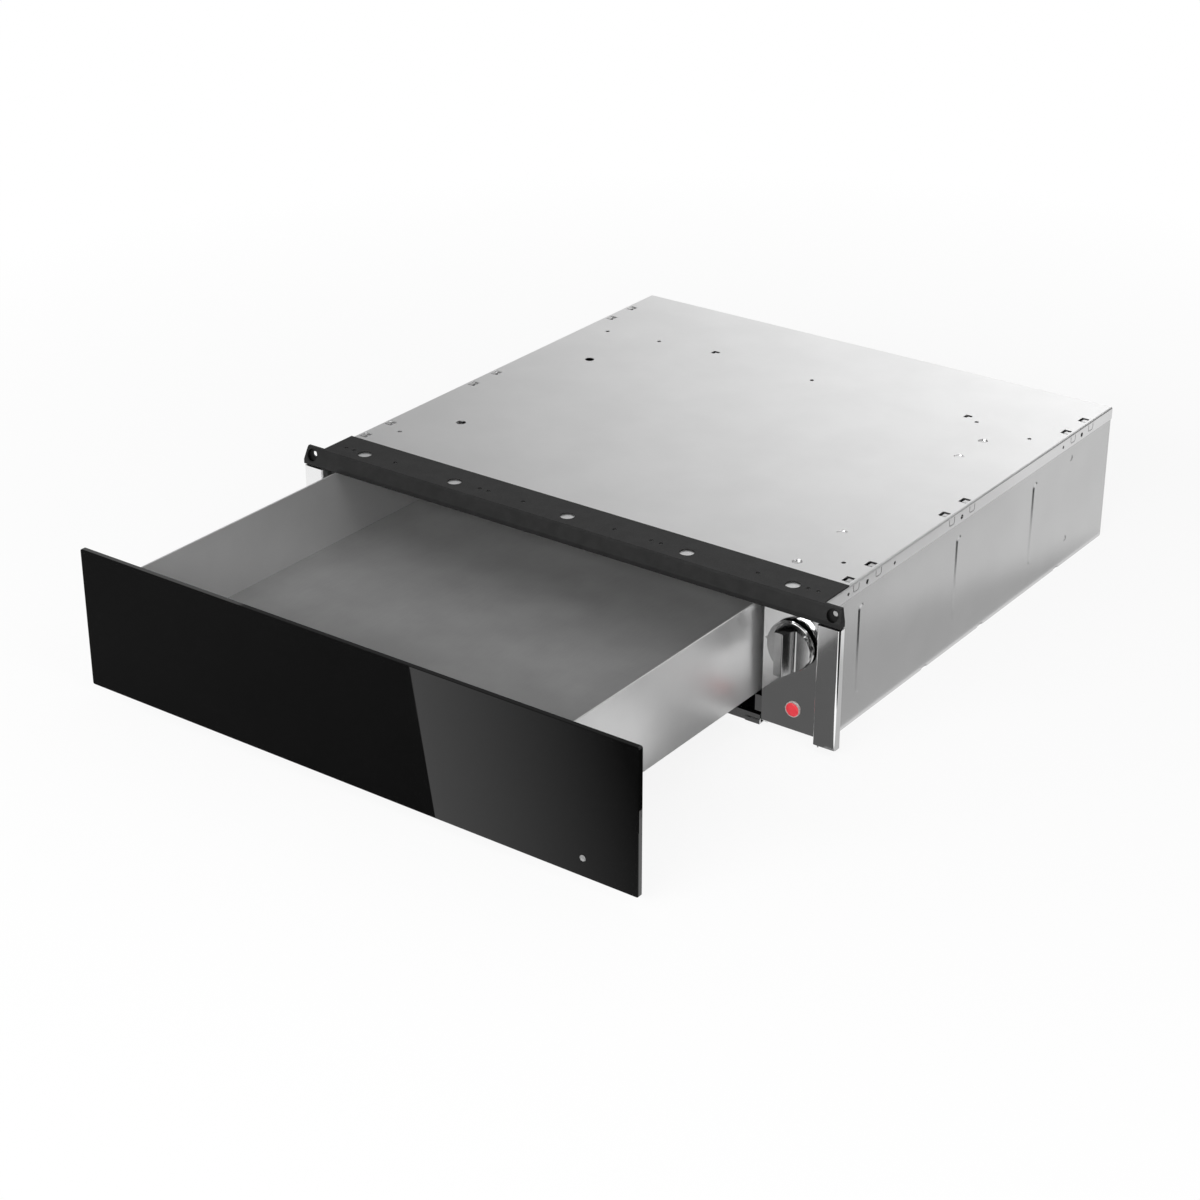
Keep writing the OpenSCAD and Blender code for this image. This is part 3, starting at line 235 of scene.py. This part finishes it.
def vertex(bm, centre, x, y, z):
    """A new vertex at an offset from a centre."""
    return bm.verts.new(Vector((centre[0] + x, centre[1] + y, centre[2] + z)) * MM)


def directions(steps):
    """The cosine and the sine of each step of a full turn."""
    return [(math.cos(math.tau * k / steps), math.sin(math.tau * k / steps)) for k in range(steps)]


def bridge(bm, one, two):
    """Faces between two closed rings of vertices. Either ring may be a single vertex."""
    steps = max(len(one), len(two))
    for k in range(steps):
        after = (k + 1) % steps
        if len(one) == 1:
            bm.faces.new((one[0], two[k], two[after]))
        elif len(two) == 1:
            bm.faces.new((one[k], two[0], one[after]))
        else:
            bm.faces.new((one[k], two[k], two[after], one[after]))


def turned(bm, profile, centre, steps=ROUND_STEPS):
    """Turns a profile of (radius, y) about a line along Y, and returns the last ring.

    A radius of 0 closes an end.
    """
    rings = []
    for radius, y in profile:
        if radius == 0:
            rings.append([vertex(bm, centre, 0, y, 0)])
        else:
            rings.append([vertex(bm, centre, radius * c, y, radius * s) for c, s in directions(steps)])
    for one, two in zip(rings, rings[1:]):
        bridge(bm, one, two)
    return rings[-1]


def finished(bm, name):
    """The mesh of a shape, with its faces turned outwards."""
    bmesh.ops.recalc_face_normals(bm, faces=bm.faces)
    mesh = bpy.data.meshes.new(name)
    bm.to_mesh(mesh)
    bm.free()
    return mesh


def add_line(curve, points, closed):
    """Adds a line through points to a curve."""
    spline = curve.splines.new("POLY")
    spline.points.add(len(points) - 1)
    for point, place in zip(spline.points, points):
        point.co = (*(Vector(place) * MM), 1)
    spline.use_cyclic_u = closed


def curve_mesh(curve):
    """The mesh that a curve's settings give."""
    holder = bpy.data.objects.new(curve.name, curve)
    mesh = bpy.data.meshes.new_from_object(holder)
    bpy.data.objects.remove(holder)
    mesh.materials.clear()
    return mesh


# Knob. Places along Y are from the back of its flange: the drum's foot, the edge of its shoulders,
# the root of the grip and the grip's tip. The drum's radius and the grip's half width are given at
# both ends.
knob_low, knob_high = box_mm("knob")
FLANGE_R = (knob_high[2] - knob_low[2]) / 2
KNOB = (knob_high[0] - FLANGE_R, knob_high[1], knob_low[2] + FLANGE_R)
DRUM_Y, EDGE_Y, ROOT_Y = -2.0, -5.6, -8.9
TIP_Y = knob_low[1] - knob_high[1]
DRUM_R, TIP_R = 21.5, 20.4
ROOT_HALF, GRIP_HALF = 8.3, 4.4
# The pointer nub: how far it stands out, the height of its tip and half the width of its foot.
NUB_REACH, NUB_Z, NUB_HALF = 2.8, 1.4, 2.8
# The widest strip that the outline is cut into, and the least half height of a strip at its edge.
STRIP = 0.8
LEAST_HALF = 0.2


def half_chord(radius, x):
    """Half the height of a disc at a distance from its middle, which never quite closes."""
    return math.sqrt(max(radius ** 2 - x * x, LEAST_HALF ** 2))


def drum_radius(y):
    """The drum tapers from its foot to the tip of the grip."""
    return DRUM_R + (TIP_R - DRUM_R) * (DRUM_Y - y) / (DRUM_Y - TIP_Y)


def grip_outline():
    """Section of the drum from edge to edge, over its shoulders, fillets and the crown of the grip."""
    half = [(DRUM_R - 0.02, DRUM_Y), (DRUM_R - 0.25, EDGE_Y + 0.25), (DRUM_R - 0.6, EDGE_Y),
            (ROOT_HALF + 0.9, ROOT_Y + 0.22), (ROOT_HALF + 0.35, ROOT_Y - 0.05),
            (ROOT_HALF, ROOT_Y - 0.5), (ROOT_HALF - 0.3, ROOT_Y - 1.3),
            (GRIP_HALF + 0.02, TIP_Y + 0.6), (GRIP_HALF - 0.15, TIP_Y + 0.2), (GRIP_HALF - 0.5, TIP_Y)]
    corners = [(-x, y) for x, y in half] + [(x, y) for x, y in reversed(half)]
    # In strips, so that the ends of the shoulders follow the round of the drum.
    outline = []
    for (x0, y0), (x1, y1) in zip(corners, corners[1:]):
        strips = max(1, int(abs(x1 - x0) / STRIP))
        outline += [(x0 + (x1 - x0) * k / strips, y0 + (y1 - y0) * k / strips) for k in range(strips)]
    return outline + [corners[-1]]


def knob_mesh():
    """Cast knob: turned flange, and a drum cut down to a bar grip whose shoulders meet it in a fillet."""
    bm = bmesh.new()
    turned(bm, [(0, 0), (FLANGE_R - 0.3, 0), (FLANGE_R, -0.3), (FLANGE_R, DRUM_Y + 0.4),
                (FLANGE_R - 0.4, DRUM_Y), (0, DRUM_Y)], KNOB)
    outline = grip_outline()
    ends = [[vertex(bm, KNOB, x, y, sign * half_chord(drum_radius(y), x)) for x, y in outline]
            for sign in (-1, 1)]
    for k in range(len(outline) - 1):
        bm.faces.new((ends[0][k], ends[0][k + 1], ends[1][k + 1], ends[1][k]))
    # Each end wall runs back from the outline to the flange along the drum's round.
    for sign, front in zip((-1, 1), ends):
        foot = [vertex(bm, KNOB, x, DRUM_Y, sign * half_chord(DRUM_R, x)) for x, _ in outline]
        for k in range(len(outline) - 1):
            if abs(outline[k][0] - outline[k + 1][0]) > 1e-6:
                bm.faces.new((front[k], front[k + 1], foot[k + 1], foot[k]))
    nub = [(-FLANGE_R - NUB_REACH, NUB_Z), (-DRUM_R, NUB_Z - NUB_HALF), (-DRUM_R, NUB_Z + NUB_HALF)]
    rings = [[vertex(bm, KNOB, x, y, z) for x, z in nub] for y in (0, DRUM_Y)]
    for ring in rings:
        bm.faces.new(ring)
    bridge(bm, *rings)
    bmesh.ops.remove_doubles(bm, verts=bm.verts, dist=2e-6)
    return finished(bm, "knob_casting")


piece("knob_casting", knob_mesh(), "knob", "knob_metal", ("knob",))


# Lamp lens. Places along Y are from its back: the moulded step, the foot of the dome and its tip.
lens_low, lens_high = box_mm("pilot_lamp_lens")
LAMP = ((lens_low[0] + lens_high[0]) / 2, lens_high[1], (lens_low[2] + lens_high[2]) / 2)
LENS_R = (lens_high[2] - lens_low[2]) / 2 - 0.02
STEP_Y, DOME_Y, LENS_TIP_Y = -1.0, -1.1, lens_low[1] - lens_high[1]
DOME_R = 5.9
DOME_STEPS = 10


def lens_mesh():
    """Red lens with a moulded step round a shallow dome."""
    bm = bmesh.new()
    angles = [k * math.pi / 2 / DOME_STEPS for k in range(DOME_STEPS)]
    dome = [(DOME_R * math.cos(t), DOME_Y + (LENS_TIP_Y - DOME_Y) * math.sin(t)) for t in angles]
    step = [(LENS_R, STEP_Y + 0.15), (LENS_R - 0.13, STEP_Y), (DOME_R, STEP_Y)]
    turned(bm, [(0, 0), (LENS_R, 0)] + step + dome + [(0, LENS_TIP_Y)], LAMP, SMALL_STEPS)
    return finished(bm, "lamp_lens")


piece("lamp_lens", lens_mesh(), "root", "red_lens", ("pilot_lamp_lens",))


# Inlet bush. Places along Y are from the casing's back wall.
bush_low, bush_high = box_mm("cable_gland")
LIP_R, SLEEVE_R, BORE_R = (bush_high[2] - bush_low[2]) / 2, 8.0, 4.5
LIP_DEEP = 3.0
INLET = (bush_high[0] - LIP_R, bush_high[1] - LIP_DEEP, bush_low[2] + LIP_R)
SLEEVE_LONG = INLET[1] - bush_low[1]
RIBS, RIB_PITCH, GROOVE_DEEP = 4, 2.0, 0.6


def gland_mesh():
    """Rubber bush with a lip on the outside and ribs round its sleeve."""
    bm = bmesh.new()
    sleeve = [(BORE_R, -SLEEVE_LONG), (SLEEVE_R, -SLEEVE_LONG)]
    for rib in range(RIBS):
        y = 0.6 - SLEEVE_LONG + rib * RIB_PITCH
        sleeve += [(SLEEVE_R, y), (SLEEVE_R - GROOVE_DEEP, y + 0.5), (SLEEVE_R - GROOVE_DEEP, y + 1.2),
                   (SLEEVE_R, y + 1.7)]
    lip = [(SLEEVE_R, 0), (LIP_R, 0), (LIP_R, LIP_DEEP - 1.2), (LIP_R - 0.6, LIP_DEEP - 0.4),
           (LIP_R - 1.6, LIP_DEEP)]
    bore = [(BORE_R + 0.8, LIP_DEEP), (BORE_R + 0.2, LIP_DEEP - 0.3), (BORE_R, LIP_DEEP - 1.0),
            (BORE_R, -SLEEVE_LONG)]
    turned(bm, sleeve + lip + bore, INLET, SMALL_STEPS)
    bmesh.ops.remove_doubles(bm, verts=bm.verts, dist=1e-7)
    return finished(bm, "inlet_bush")


piece("inlet_bush", gland_mesh(), "root", "black_rubber", ("cable_gland",))


# Front glass and the lamp window in it. The window's places along Y are from the back of the glass.
glass_low, glass_high = box_mm("front_glass")
window_low, window_high = box_mm("front_lens")
GLASS_THICK = glass_high[1] - glass_low[1]
GLASS_CORNER, ARRIS = 2.0, 0.4
COLLAR_R, HOLE_R = (window_high[2] - window_low[2]) / 2, 2.8
COLLAR_DEEP = window_high[1] - glass_high[1]
WINDOW = (window_high[0] - COLLAR_R, glass_high[1], window_low[2] + COLLAR_R)
WINDOW_STEPS = 48
PRISMS, PRISM_PITCH = 3, 0.7


def glass_mesh():
    """Glass plate with ground corners, an arris all round and the drilled hole of the lamp window."""
    outline = bpy.data.curves.new("glass_outline", "CURVE")
    outline.dimensions, outline.fill_mode = "2D", "BOTH"
    left, right = glass_low[0] + GLASS_CORNER, glass_high[0] - GLASS_CORNER
    foot, head = glass_low[2] + GLASS_CORNER, glass_high[2] - GLASS_CORNER
    rounded = []
    for x, z, start in ((right, head, 0), (left, head, 90), (left, foot, 180), (right, foot, 270)):
        for degrees in range(start, start + 91, 15):
            turn = math.radians(degrees)
            rounded.append((x + GLASS_CORNER * math.cos(turn), z + GLASS_CORNER * math.sin(turn), 0))
    hole = [(WINDOW[0] + HOLE_R * c, WINDOW[2] + HOLE_R * s, 0) for c, s in directions(WINDOW_STEPS)]
    add_line(outline, rounded, True)
    add_line(outline, hole, True)
    outline.extrude = (GLASS_THICK / 2 - ARRIS) * MM
    outline.bevel_depth, outline.bevel_resolution, outline.offset = ARRIS * MM, 0, -ARRIS * MM
    mesh = curve_mesh(outline)
    upright = Matrix.Rotation(math.radians(90), 4, "X")
    upright.translation = (0, (glass_high[1] - GLASS_THICK / 2) * MM, 0)
    mesh.transform(upright)
    return mesh


piece("glass_panel", glass_mesh(), "drawer", "black_glass", ("front_glass",), smooth_deg=20)


def window_mesh():
    """Frosted plug in the glass: collar behind, three fine prism rings in front."""
    bm = bmesh.new()
    collar = [(0, COLLAR_DEEP), (COLLAR_R - 0.2, COLLAR_DEEP), (COLLAR_R, COLLAR_DEEP - 0.2),
              (COLLAR_R, 0), (HOLE_R, 0)]
    rim = [(HOLE_R, 0.3 - GLASS_THICK), (HOLE_R - 0.2, 0.05 - GLASS_THICK)]
    prisms = []
    for ring in range(PRISMS):
        crest = HOLE_R - 0.4 - PRISM_PITCH * ring
        prisms += [(crest, -GLASS_THICK), (crest - 0.5, 0.25 - GLASS_THICK)]
    turned(bm, collar + rim + prisms + [(0, -GLASS_THICK)], WINDOW, WINDOW_STEPS)
    return finished(bm, "lamp_window")


piece("lamp_window", window_mesh(), "drawer", "window_plastic", ("front_lens",), smooth_deg=20)


# Screws. Places along Y are from the sheet that the head sits on.
THREAD_R, CORE_R, POINT_R, THREAD_PITCH = 1.5, 1.2, 1.1, 0.7
HEAD_R, HEAD_HIGH = 3.5, 2.2
HEAD_DOME = [(HEAD_R, 0), (HEAD_R, 0.5), (3.38, 1.0), (3.1, 1.45), (2.65, 1.85), (2.15, 2.08)]
CROSS_ARM, CROSS_HALF = 1.9, 0.5
# The cross as (y, share of its size at the mouth), and the point of its cone.
CROSS_DEPTHS = ((HEAD_HIGH, 1.0), (HEAD_HIGH - 1.0, 0.8))
CROSS_POINT_Y = HEAD_HIGH - 1.3
SHANK = 7
WALL_SHEET_Y, BACK_SHEET_Y = -550.5, 268.5


def cross_reach(c, s):
    """How far a cross recess reaches from the middle in one direction."""
    across, up = abs(c) + 1e-9, abs(s) + 1e-9
    return max(min(CROSS_ARM / across, CROSS_HALF / up), min(CROSS_ARM / up, CROSS_HALF / across))


def screws_mesh(places):
    """Pan head screws with a cross recess and a ribbed thread. Their heads face back."""
    bm = bmesh.new()
    thread = []
    for turn in range(int(SHANK / THREAD_PITCH)):
        y = THREAD_PITCH * turn - SHANK
        thread += [(THREAD_R, y + THREAD_PITCH / 2), (CORE_R, y + THREAD_PITCH)]
    shank = [(0, -SHANK), (POINT_R, -SHANK)] + thread + [(THREAD_R - 0.05, -0.1), (THREAD_R, 0)]
    for centre in places:
        ring = turned(bm, shank + HEAD_DOME, centre)
        for y, share in CROSS_DEPTHS:
            deeper = [vertex(bm, centre, share * cross_reach(c, s) * c, y, share * cross_reach(c, s) * s)
                      for c, s in directions(ROUND_STEPS)]
            bridge(bm, ring, deeper)
            ring = deeper
        bridge(bm, ring, [vertex(bm, centre, 0, CROSS_POINT_Y, 0)])
    return finished(bm, "screws")


wall_places = [(x, WALL_SHEET_Y, z) for x in (-200.475, 153.675) for z in (66, 97.9)]
rear_places = [(x, BACK_SHEET_Y, z) for x in (-269.5, 269.5) for z in (22.176, 116.424)]
piece("wall_screws", screws_mesh(wall_places), "drawer", "zinc_steel", ("front_screws",))
piece("rear_screws", screws_mesh(rear_places), "root", "zinc_steel", ("back_screws",))


# Inner leads. Each leaves the terminal block, runs forward at one height, turns aside some way
# before its end and then meets its terminal.
LEAD_R, LEAD_BEND = 1.2, 9.0
BEND_STEPS = 8
BLOCK_Y, BLOCK_Z = 168.0, 10
LEADS = (
    {"from_x": 238.9, "run_z": 23.8, "end": (247.2, -236.5, 29), "turn": 10},
    {"from_x": 247.9, "run_z": 23.8, "end": (253.0, -236.5, 29), "turn": 20},
    {"from_x": 256.9, "run_z": 58, "end": (239.3, -233.5, 91.5), "turn": 10},
)


def bent(stations):
    """A wire's path whose corners are rounded, with short steps along each bend."""
    path = [Vector(stations[0])]
    for before, corner, after in zip(stations, stations[1:], stations[2:]):
        corner = Vector(corner)
        into, away = Vector(before) - corner, Vector(after) - corner
        # A short run leaves each of its two bends a little less than half of it.
        reach = min(LEAD_BEND, into.length / 2.1, away.length / 2.1)
        start, end = corner + into.normalized() * reach, corner + away.normalized() * reach
        for step in range(BEND_STEPS + 1):
            t = step / BEND_STEPS
            path.append(start.lerp(corner, t).lerp(corner.lerp(end, t), t))
    return path + [Vector(stations[-1])]


def wiring_mesh():
    """Three leads from the terminal block to the lamp and the thermostat, with soft bends."""
    leads = bpy.data.curves.new("leads", "CURVE")
    leads.dimensions, leads.use_fill_caps = "3D", True
    leads.bevel_depth, leads.bevel_resolution = LEAD_R * MM, 3
    for lead in LEADS:
        from_x, run_z = lead["from_x"], lead["run_z"]
        to_x, to_y, to_z = lead["end"]
        turn_y = to_y + lead["turn"]
        add_line(leads, bent([(from_x, BLOCK_Y, BLOCK_Z), (from_x, BLOCK_Y, run_z), (from_x, turn_y, run_z),
                              (to_x, turn_y, run_z), (to_x, turn_y, to_z), (to_x, to_y, to_z)]), False)
    return curve_mesh(leads)


piece("inner_leads", wiring_mesh(), "root", "wire_cover", ("wiring",))


# Stage. Its sizes are in metres.

def stage_card(name, corners, material, glossy_only=True):
    """A flat card of the stage, as a rule one that only reflections see."""
    mesh = bpy.data.meshes.new(name)
    mesh.from_pydata(corners, [], [tuple(range(len(corners)))])
    card = bpy.data.objects.new(name, mesh)
    bpy.context.scene.collection.objects.link(card)
    mesh.materials.append(material)
    if glossy_only:
        card.visible_camera = False
        card.visible_diffuse = False
        card.visible_transmission = False
        card.visible_shadow = False


def seen_share(tree):
    """1 for a ray that shows the background: to the camera, in a reflection or through glass."""
    path = add(tree, "LightPath")
    pair = add(tree, "Math", {0: path.outputs["Is Camera Ray"], 1: path.outputs["Is Glossy Ray"]},
               operation="MAXIMUM")
    seen = add(tree, "Math", {0: pair.outputs[0], 1: path.outputs["Is Transmission Ray"]},
               operation="MAXIMUM")
    return seen.outputs[0]


def floor_finish():
    """Pale paint that takes shadows near the part and turns to plain white away from it."""
    material = bpy.data.materials.new("pale_floor")
    tree = cleared_tree(material)
    distance = add(tree, "VectorMath", {0: add(tree, "TexCoord").outputs["Object"]}, operation="LENGTH")
    far_share = add(tree, "MapRange", {"Value": distance.outputs["Value"], "From Min": 0.5,
                                       "From Max": 1.3, "To Min": 0.88, "To Max": 1.0})
    white_share = add(tree, "Math", {0: far_share.outputs[0], 1: seen_share(tree)}, operation="MULTIPLY")
    paint = add(tree, "BsdfDiffuse", {"Color": linear("#f2f2f2")})
    glow = add(tree, "Emission", {"Color": linear("#ffffff"), "Strength": 1.0})
    mixed = add(tree, "MixShader", {0: white_share.outputs[0], 1: paint.outputs[0], 2: glow.outputs[0]})
    add(tree, "OutputMaterial", {"Surface": mixed.outputs[0]})
    return material


# The floor is a hair below the part, so that the two don't share a plane.
FLOOR_Z = solid_box[0][2] - 0.0004
FLOOR_HALF = 9
floor_corners = [(x * FLOOR_HALF, y * FLOOR_HALF, FLOOR_Z)
                 for x, y in ((-1, -1), (1, -1), (1, 1), (-1, 1))]
stage_card("floor", floor_corners, floor_finish(), glossy_only=False)


# The air is white to look at, and lights the part more softly than it looks.
AIR_LIGHT = 0.4
world = bpy.data.worlds.new("studio")
bpy.context.scene.world = world
tree = cleared_tree(world)
air = add(tree, "Background", {"Color": linear("#ffffff"), "Strength": AIR_LIGHT})
white = add(tree, "Background", {"Color": linear("#ffffff"), "Strength": 1.0})
mixed = add(tree, "MixShader", {0: seen_share(tree), 1: air.outputs[0], 2: white.outputs[0]})
add(tree, "OutputWorld", {"Surface": mixed.outputs[0]})


def reflected_light(name, level, far_level=None, start=(0, 0, 0), end=(1, 0, 0)):
    """Plain light for a card. With a far level, it runs from one to the other between two places."""
    material = bpy.data.materials.new(name)
    tree = cleared_tree(material)
    run = Vector(end) - Vector(start)
    offset = add(tree, "VectorMath", {0: add(tree, "TexCoord").outputs["Object"], 1: start},
                 operation="SUBTRACT")
    share = add(tree, "VectorMath", {0: offset.outputs[0], 1: run / run.length_squared},
                operation="DOT_PRODUCT")
    strength = add(tree, "MapRange", {"Value": share.outputs["Value"], "To Min": level,
                                      "To Max": level if far_level is None else far_level})
    glow = add(tree, "Emission", {"Color": linear("#ffffff"), "Strength": strength.outputs[0]})
    add(tree, "OutputMaterial", {"Surface": glow.outputs[0]})
    return material


def floor_card(name, corners, height_mm, light):
    """A reflection card that lies a little above the floor."""
    stage_card(name, [(x, y, FLOOR_Z + height_mm * MM) for x, y in corners], light)


def upright_card(name, start, end, foot, head, light):
    """A reflection card that stands on a line, from one height to another."""
    stage_card(name, [(*start, foot), (*end, foot), (*end, head), (*start, head)], light)


# Cards on the floor, which only reflections see; some of them are painted shade. Before the glass,
# which mirrors it: a dark sheet as a painted shadow that the part casts forward, and a pale stripe that
# fades to the right.
floor_card("painted_front_shadow", [(-0.7, -0.82), (0.16, -0.82), (0.31, -0.567), (-0.7, -0.567)], 0.1,
           reflected_light("painted_front_shadow", 0.12, 0.05, (-0.4, 0, 0), (0.25, 0, 0)))
floor_card("front_stripe", [(0.092, -0.570), (0.31, -0.570), (0.16, -0.82), (-0.153, -0.82)], 0.2,
           reflected_light("front_stripe", 0.95, 0.05, (0.084, -0.58, 0), (0.206, -0.697, 0)))
# Painted shade: a dark sheet below the drawer stands in for its shadow on the floor, and a bright one
# beside it is for its outer wall to mirror.
floor_card("painted_drawer_shadow", [(-0.3, -0.27), (0.305, -0.27), (0.305, -0.285), (0.262, -0.36),
                           (0.262, -0.53), (-0.3, -0.53)], 0.1,
           reflected_light("painted_drawer_shadow", 0.11))
floor_card("drawer_sheet", [(0.31, -0.29), (0.265, -0.365), (0.265, -0.56), (0.375, -0.56),
                            (0.375, -0.29)], 0.1,
           reflected_light("drawer_sheet", 1.15))
# Beside the casing: painted shade of the floor near it, grey for its flat side to mirror, growing brighter
# away from it.
floor_card("painted_side_shade", [(0.28, -0.29), (2.5, -0.29), (2.5, 3.0), (0.28, 3.0)], 0.1,
           reflected_light("painted_side_shade", 0.53, 0.81, (0.374, -0.092, 0), (0.414, -0.078, 0)))
# Dark strip beyond what the flat side mirrors: only the front flanks of its beads see it.
floor_card("bead_sheet", [(0.385, -0.9), (1.2, -0.9), (1.2, 0.35), (0.47, 0.35), (0.45, -0.05),
                          (0.43, -0.15), (0.385, -0.285)], 0.3,
           reflected_light("bead_sheet", 0.02))

# Tall screen far behind, which the cover mirrors, with a dark header above it.
SCREEN_MIDDLE, SCREEN_ALONG = Vector((-5.0, 8.66)), Vector((0.866, 0.5))
SCREEN_HALF, SCREEN_HEAD, HEADER_HEAD = 8, 5.0, 13
screen_left = SCREEN_MIDDLE - SCREEN_HALF * SCREEN_ALONG
screen_right = SCREEN_MIDDLE + SCREEN_HALF * SCREEN_ALONG
upright_card("back_screen", screen_left, screen_right, 0, SCREEN_HEAD,
             reflected_light("back_screen", 0.54, 2.12, (-7.035, 7.485, 0), (-2.835, 9.91, 0)))
upright_card("back_header", screen_left, screen_right, SCREEN_HEAD, HEADER_HEAD,
             reflected_light("back_header", 0.2))
# Dark upright card at the back right, which only the folded edges of cover and sides mirror.
upright_card("edge_card", (2.6, 11.4), (8.4, 8.2), 0, 7.5, reflected_light("edge_card", 0.1))

# Dark room in front, which only the knob's round side mirrors, by way of the panel behind it.
ROOM_LEFT, ROOM_RIGHT, ROOM_FRONT, ROOM_BACK, CEILING = -8, 9, -9, -0.9, 3.5
front_dark = reflected_light("front_dark", 0.1)
stage_card("front_ceiling", [(ROOM_LEFT, ROOM_FRONT, CEILING), (ROOM_RIGHT, ROOM_FRONT, CEILING),
                             (ROOM_RIGHT, ROOM_BACK, CEILING), (ROOM_LEFT, ROOM_BACK, CEILING)],
           front_dark)
upright_card("front_wall", (ROOM_LEFT, ROOM_FRONT), (ROOM_RIGHT, ROOM_FRONT), 0, CEILING, front_dark)
upright_card("right_wall", (ROOM_RIGHT, ROOM_FRONT), (ROOM_RIGHT, ROOM_BACK), 0, CEILING, front_dark)


def softbox(name, place, aim, width, height, watts):
    """A rectangular lamp that faces a place on the part."""
    lamp = bpy.data.lights.new(name, "AREA")
    lamp.shape = "RECTANGLE"
    lamp.size, lamp.size_y, lamp.energy = width, height, watts
    box = bpy.data.objects.new(name, lamp)
    box.location = place
    box.rotation_euler = (Vector(aim) - Vector(place)).to_track_quat("-Z", "Y").to_euler()
    bpy.context.scene.collection.objects.link(box)


softbox("back_softbox", (-0.9, 1.6, 2.9), aim=(0, 0, 0.1), width=1.6, height=1.2, watts=5)
softbox("low_softbox", (0.1, -2.7, 1.3), aim=(0, -0.3, 0.1), width=2.4, height=0.8, watts=56)
softbox("right_softbox", (2.2, -0.9, 1.9), aim=(-0.1, -0.3, 0.1), width=1.0, height=1.0, watts=14)
